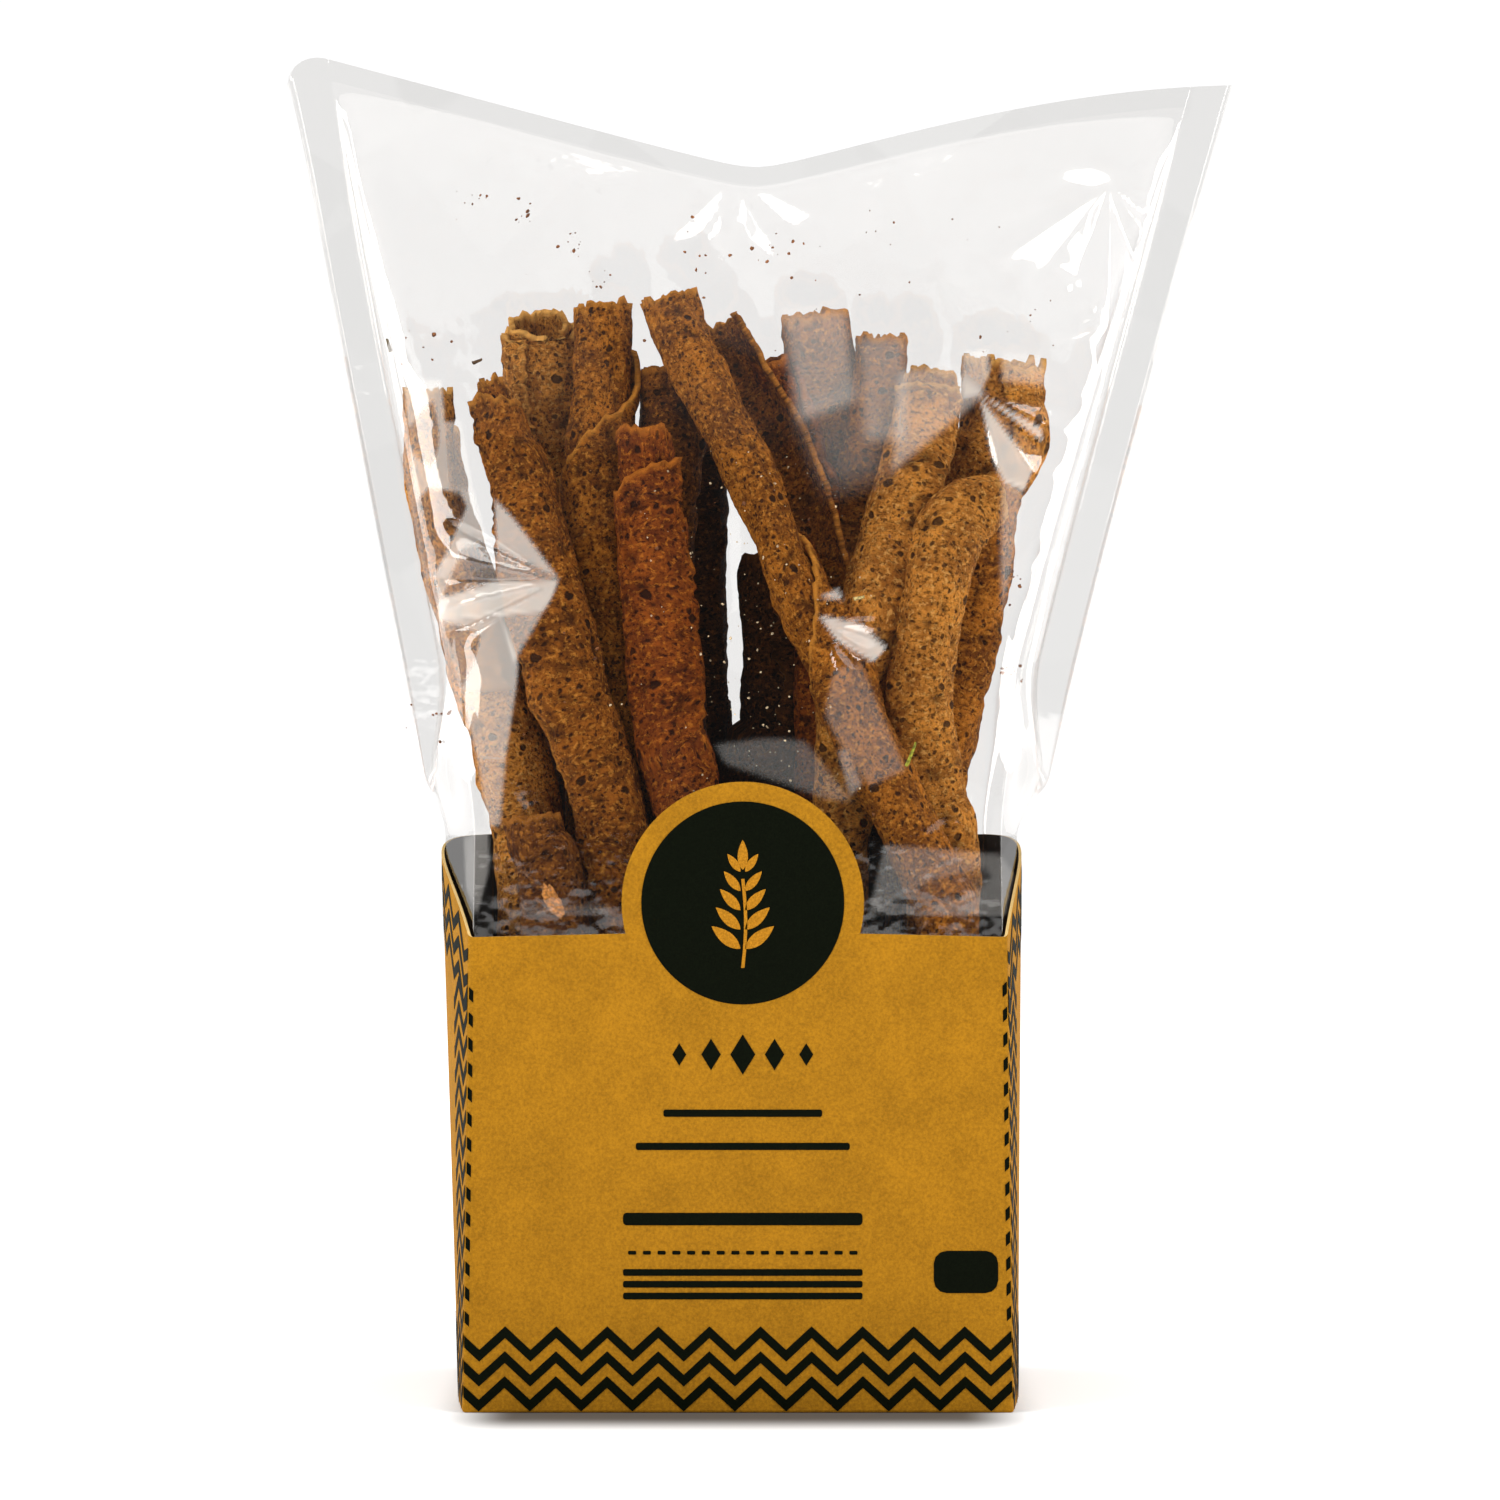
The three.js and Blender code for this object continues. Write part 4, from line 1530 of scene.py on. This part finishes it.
def crumb(bm, x, z, size, draw):
    spot = Matrix.Translation(inside_film(x, z))
    angle = draw.uniform(0, 2 * pi)
    turn = Matrix.Rotation(angle, 4, Vector([draw.uniform(-1, 1) for _ in range(3)]))
    made = bmesh.ops.create_icosphere(bm, subdivisions=2, radius=size / 2)
    stretch = Matrix.Diagonal((1, draw.uniform(0.5, 0.8), draw.uniform(0.6, 1.4), 1))
    for vert in made["verts"]:
        vert.co *= 1 + 0.5 * noise.noise(vert.co * 3 / size + Vector((x, z, 0)))
        vert.co = spot @ turn @ stretch @ vert.co


def crumbs(name, places, low, high, finish_of):
    draw = random.Random(len(places))
    bm = bmesh.new()
    for x, z in places:
        crumb(bm, x, z, mix(low, high, draw.random() ** 2.5), draw)
    finish(bm, name, [finish_of])


def loose(name, colour):
    f = Finish(name)
    place = f.place()
    tone = f.blend(f.noise(place, 1500).step(0.35, 0.65), shade(colour, 0.5), shade(colour, 1.4))
    return f.skin({"Base Color": tone, "Roughness": 0.85})


CRUMBS_X, CRUMBS_Z = (-60, 62), (122, 248)
PALE_X, PALE_SPREAD, PALE_Z = 2, 11, (128, 200)
scatter = random.Random(7)
dark_places = []
for x, z, spread, count in CLUSTERS:
    for _ in range(count):
        dark_places.append((scatter.gauss(x, spread * 0.5), scatter.gauss(z, spread * 0.5)))
for _ in range(LOOSE_CRUMBS):
    dark_places.append((scatter.uniform(*CRUMBS_X), scatter.uniform(*CRUMBS_Z)))
glint_places = []
for _ in range(PALE_GLINT_SPECKS):
    glint_places.append((scatter.gauss(PALE_X, PALE_SPREAD), scatter.uniform(*PALE_Z)))
crumbs("crumbs_dark", dark_places, 0.25, 1.0, loose("crumb_brown", paint(128, 78, 40)))
# pale specks: their pale colour is a painted highlight
crumbs("glint_specks", glint_places, 0.2, 0.6, loose("speck_glint_white", paint(226, 196, 156)))

# %% Needles and a lump
NEEDLES = [  # x, z, length, lean in degrees, colour
    (36.2, 136.8, 5.4, 68, (150, 150, 40)),
    (-54.1, 218.4, 2.3, 22, (92, 66, 38)),
    (-72.4, 222, 3.0, 106, (96, 84, 62)),
    (25.2, 169.2, 2.4, 12, (206, 186, 120)),
]


def needle(x, z, length, lean, colour, number):
    bm = bmesh.new()
    bmesh.ops.create_cone(bm, cap_ends=True, segments=8, radius1=0.42, radius2=0.26, depth=1.0)
    rims = [edge for edge in bm.edges if edge.calc_length() < 0.5]
    bevel(bm, rims, 0.12, 2)
    for vert in bm.verts:
        along = vert.co.z
        bend = 0.35 * (along * 2) ** 2
        lying = Vector((along * length, vert.co.y * 0.7, vert.co.x + bend))
        vert.co = inside_film(x, z) + Matrix.Rotation(-radians(lean), 3, "Y") @ lying
    finish(bm, f"needle_{number}", [loose(f"herb_{number}", paint(*colour))])


for number, (x, z, length, lean, colour) in enumerate(NEEDLES):
    needle(x, z, length, lean, colour, number + 1)

LUMP_X, LUMP_Z = -38.3, 106.5
LUMP_HALF_SIZE = (1.5, 1.3, 3.4)
LUMP_LEAN = -26  # degrees
lump = bmesh.new()
bmesh.ops.create_icosphere(lump, subdivisions=4, radius=1.0)
for vert in lump.verts:
    grow = 1 + 0.55 * noise.noise(vert.co * 1.4) + 0.3 * noise.noise(vert.co * 4)
    leaning = Matrix.Rotation(radians(LUMP_LEAN), 3, "Y") @ (vert.co * Vector(LUMP_HALF_SIZE))
    vert.co = seen(LUMP_X, LUMP_Z, -HALF_DEPTH + CARD + 2.6) + leaning * grow
finish(lump, "crumb_lump", [loose("crumb_golden", paint(196, 128, 56))])

# %% [markdown]
# ## Set and light
# The pack stands on white paper before a white backdrop. Two large soft boxes stand to
# the front left and the front right, two weak ones behind on either side, and one hangs
# above. The film mirrors them in its slanted parts only, so it stays clear in the
# middle. Paper lit this brightly would lose the soft shadow that lies at the foot of
# the front panel, so the paper itself is darker there.

# %% Set
WHITE = (1.0, 1.0, 1.0, 1.0)
SHADOW_AHEAD = (0.038, 0.008)  # gone, and full, in metres in front of the panel
SHADOW_ACROSS = (0.066, 0.046)  # the same to either side of the middle
SHADOW_TONE = (0.07, 0.06, 0.05, 1.0)


def paper(name, glow):
    f = Finish(name)
    place = f.place()
    away = f.node("VectorMath", {"operation": "LENGTH"}, {0: place}, out="Value")
    ahead = (FRONT_PLANE * MM - f.axis(place, "Y")).step(*SHADOW_AHEAD)
    across = f.node("Math", {"operation": "ABSOLUTE"}, {0: f.axis(place, "X")})
    shadow = ahead * across.step(*SHADOW_ACROSS)
    lit = f.blend(away.step(0.2, 1.0), (glow, glow, glow, 1.0), WHITE)
    skin = {"Base Color": f.blend(shadow, (0.9, 0.9, 0.9, 1.0), SHADOW_TONE), "Roughness": 0.9,
            "Emission Color": f.blend(shadow, lit, shade(SHADOW_TONE, 0.2)),
            "Emission Strength": 1.0}
    return f.skin(skin)


ROOM_GLOW = 0.06  # behind the camera
TENT_GLOW = 0.85  # the white tent at the sides, above and behind, as the film mirrors it
FILL_GLOW = 0.22  # how much of it reaches the food
BACKDROP_GLOW = 1.05
PAPER_HALF_SIZE = 3000
sweep_mesh = bmesh.new()
bmesh.ops.create_grid(sweep_mesh, x_segments=1, y_segments=1, size=PAPER_HALF_SIZE)
bmesh.ops.scale(sweep_mesh, vec=(MM, MM, MM), verts=sweep_mesh.verts)
sweep_data = bpy.data.meshes.new("paper_floor")
sweep_mesh.to_mesh(sweep_data)
sweep_mesh.free()
sweep_data.materials.append(paper("paper", 0.3))
floor = stand("paper_floor", sweep_data)


def soft_box(name, place, aim, width, height, watts, colour=(1.0, 1.0, 1.0)):
    light = bpy.data.lights.new(name, "AREA")
    light.shape = "RECTANGLE"
    light.size = width
    light.size_y = height
    light.energy = watts
    light.color = colour
    holder = stand(name, light)
    holder.location = place
    holder.rotation_euler = (Vector(aim) - Vector(place)).to_track_quat("-Z", "Y").to_euler()


soft_box("left_box", (-1.15, -0.75, 0.75), (0, 0, 0.15), 0.6, 1.1, 14)
soft_box("right_box", (1.15, -0.85, 0.7), (0, 0, 0.15), 0.6, 1.1, 14, (1.0, 0.985, 0.96))
soft_box("left_rim", (-1.0, 0.3, 0.35), (0, 0, 0.12), 0.5, 0.9, 3.5)
soft_box("right_rim", (1.0, 0.3, 0.35), (0, 0, 0.12), 0.5, 0.9, 3.5)
soft_box("top_box", (0.0, -0.2, 1.6), (0, 0, 0.1), 1.4, 1.0, 14)

sky = Finish("studio", "worlds")
ahead = sky.axis(sky.node("TexCoord", out="Generated"), "Y")
mirrored = sky.node("LightPath", out="Is Glossy Ray")
tent = mirrored * (TENT_GLOW - FILL_GLOW) + (FILL_GLOW - ROOM_GLOW)
glow = ahead.step(-0.85, -0.1) * tent + ROOM_GLOW
room = sky.node("Background", {}, {"Color": WHITE, "Strength": glow})
backdrop = sky.node("Background", {}, {"Color": WHITE, "Strength": BACKDROP_GLOW})
straight = sky.node("LightPath", out="Is Camera Ray")
bpy.context.scene.world = sky.close(
    sky.node("MixShader", {}, {0: straight, 1: room, 2: backdrop}), "OutputWorld")
bpy.context.scene.view_settings.view_transform = "Standard"
print("lights placed")
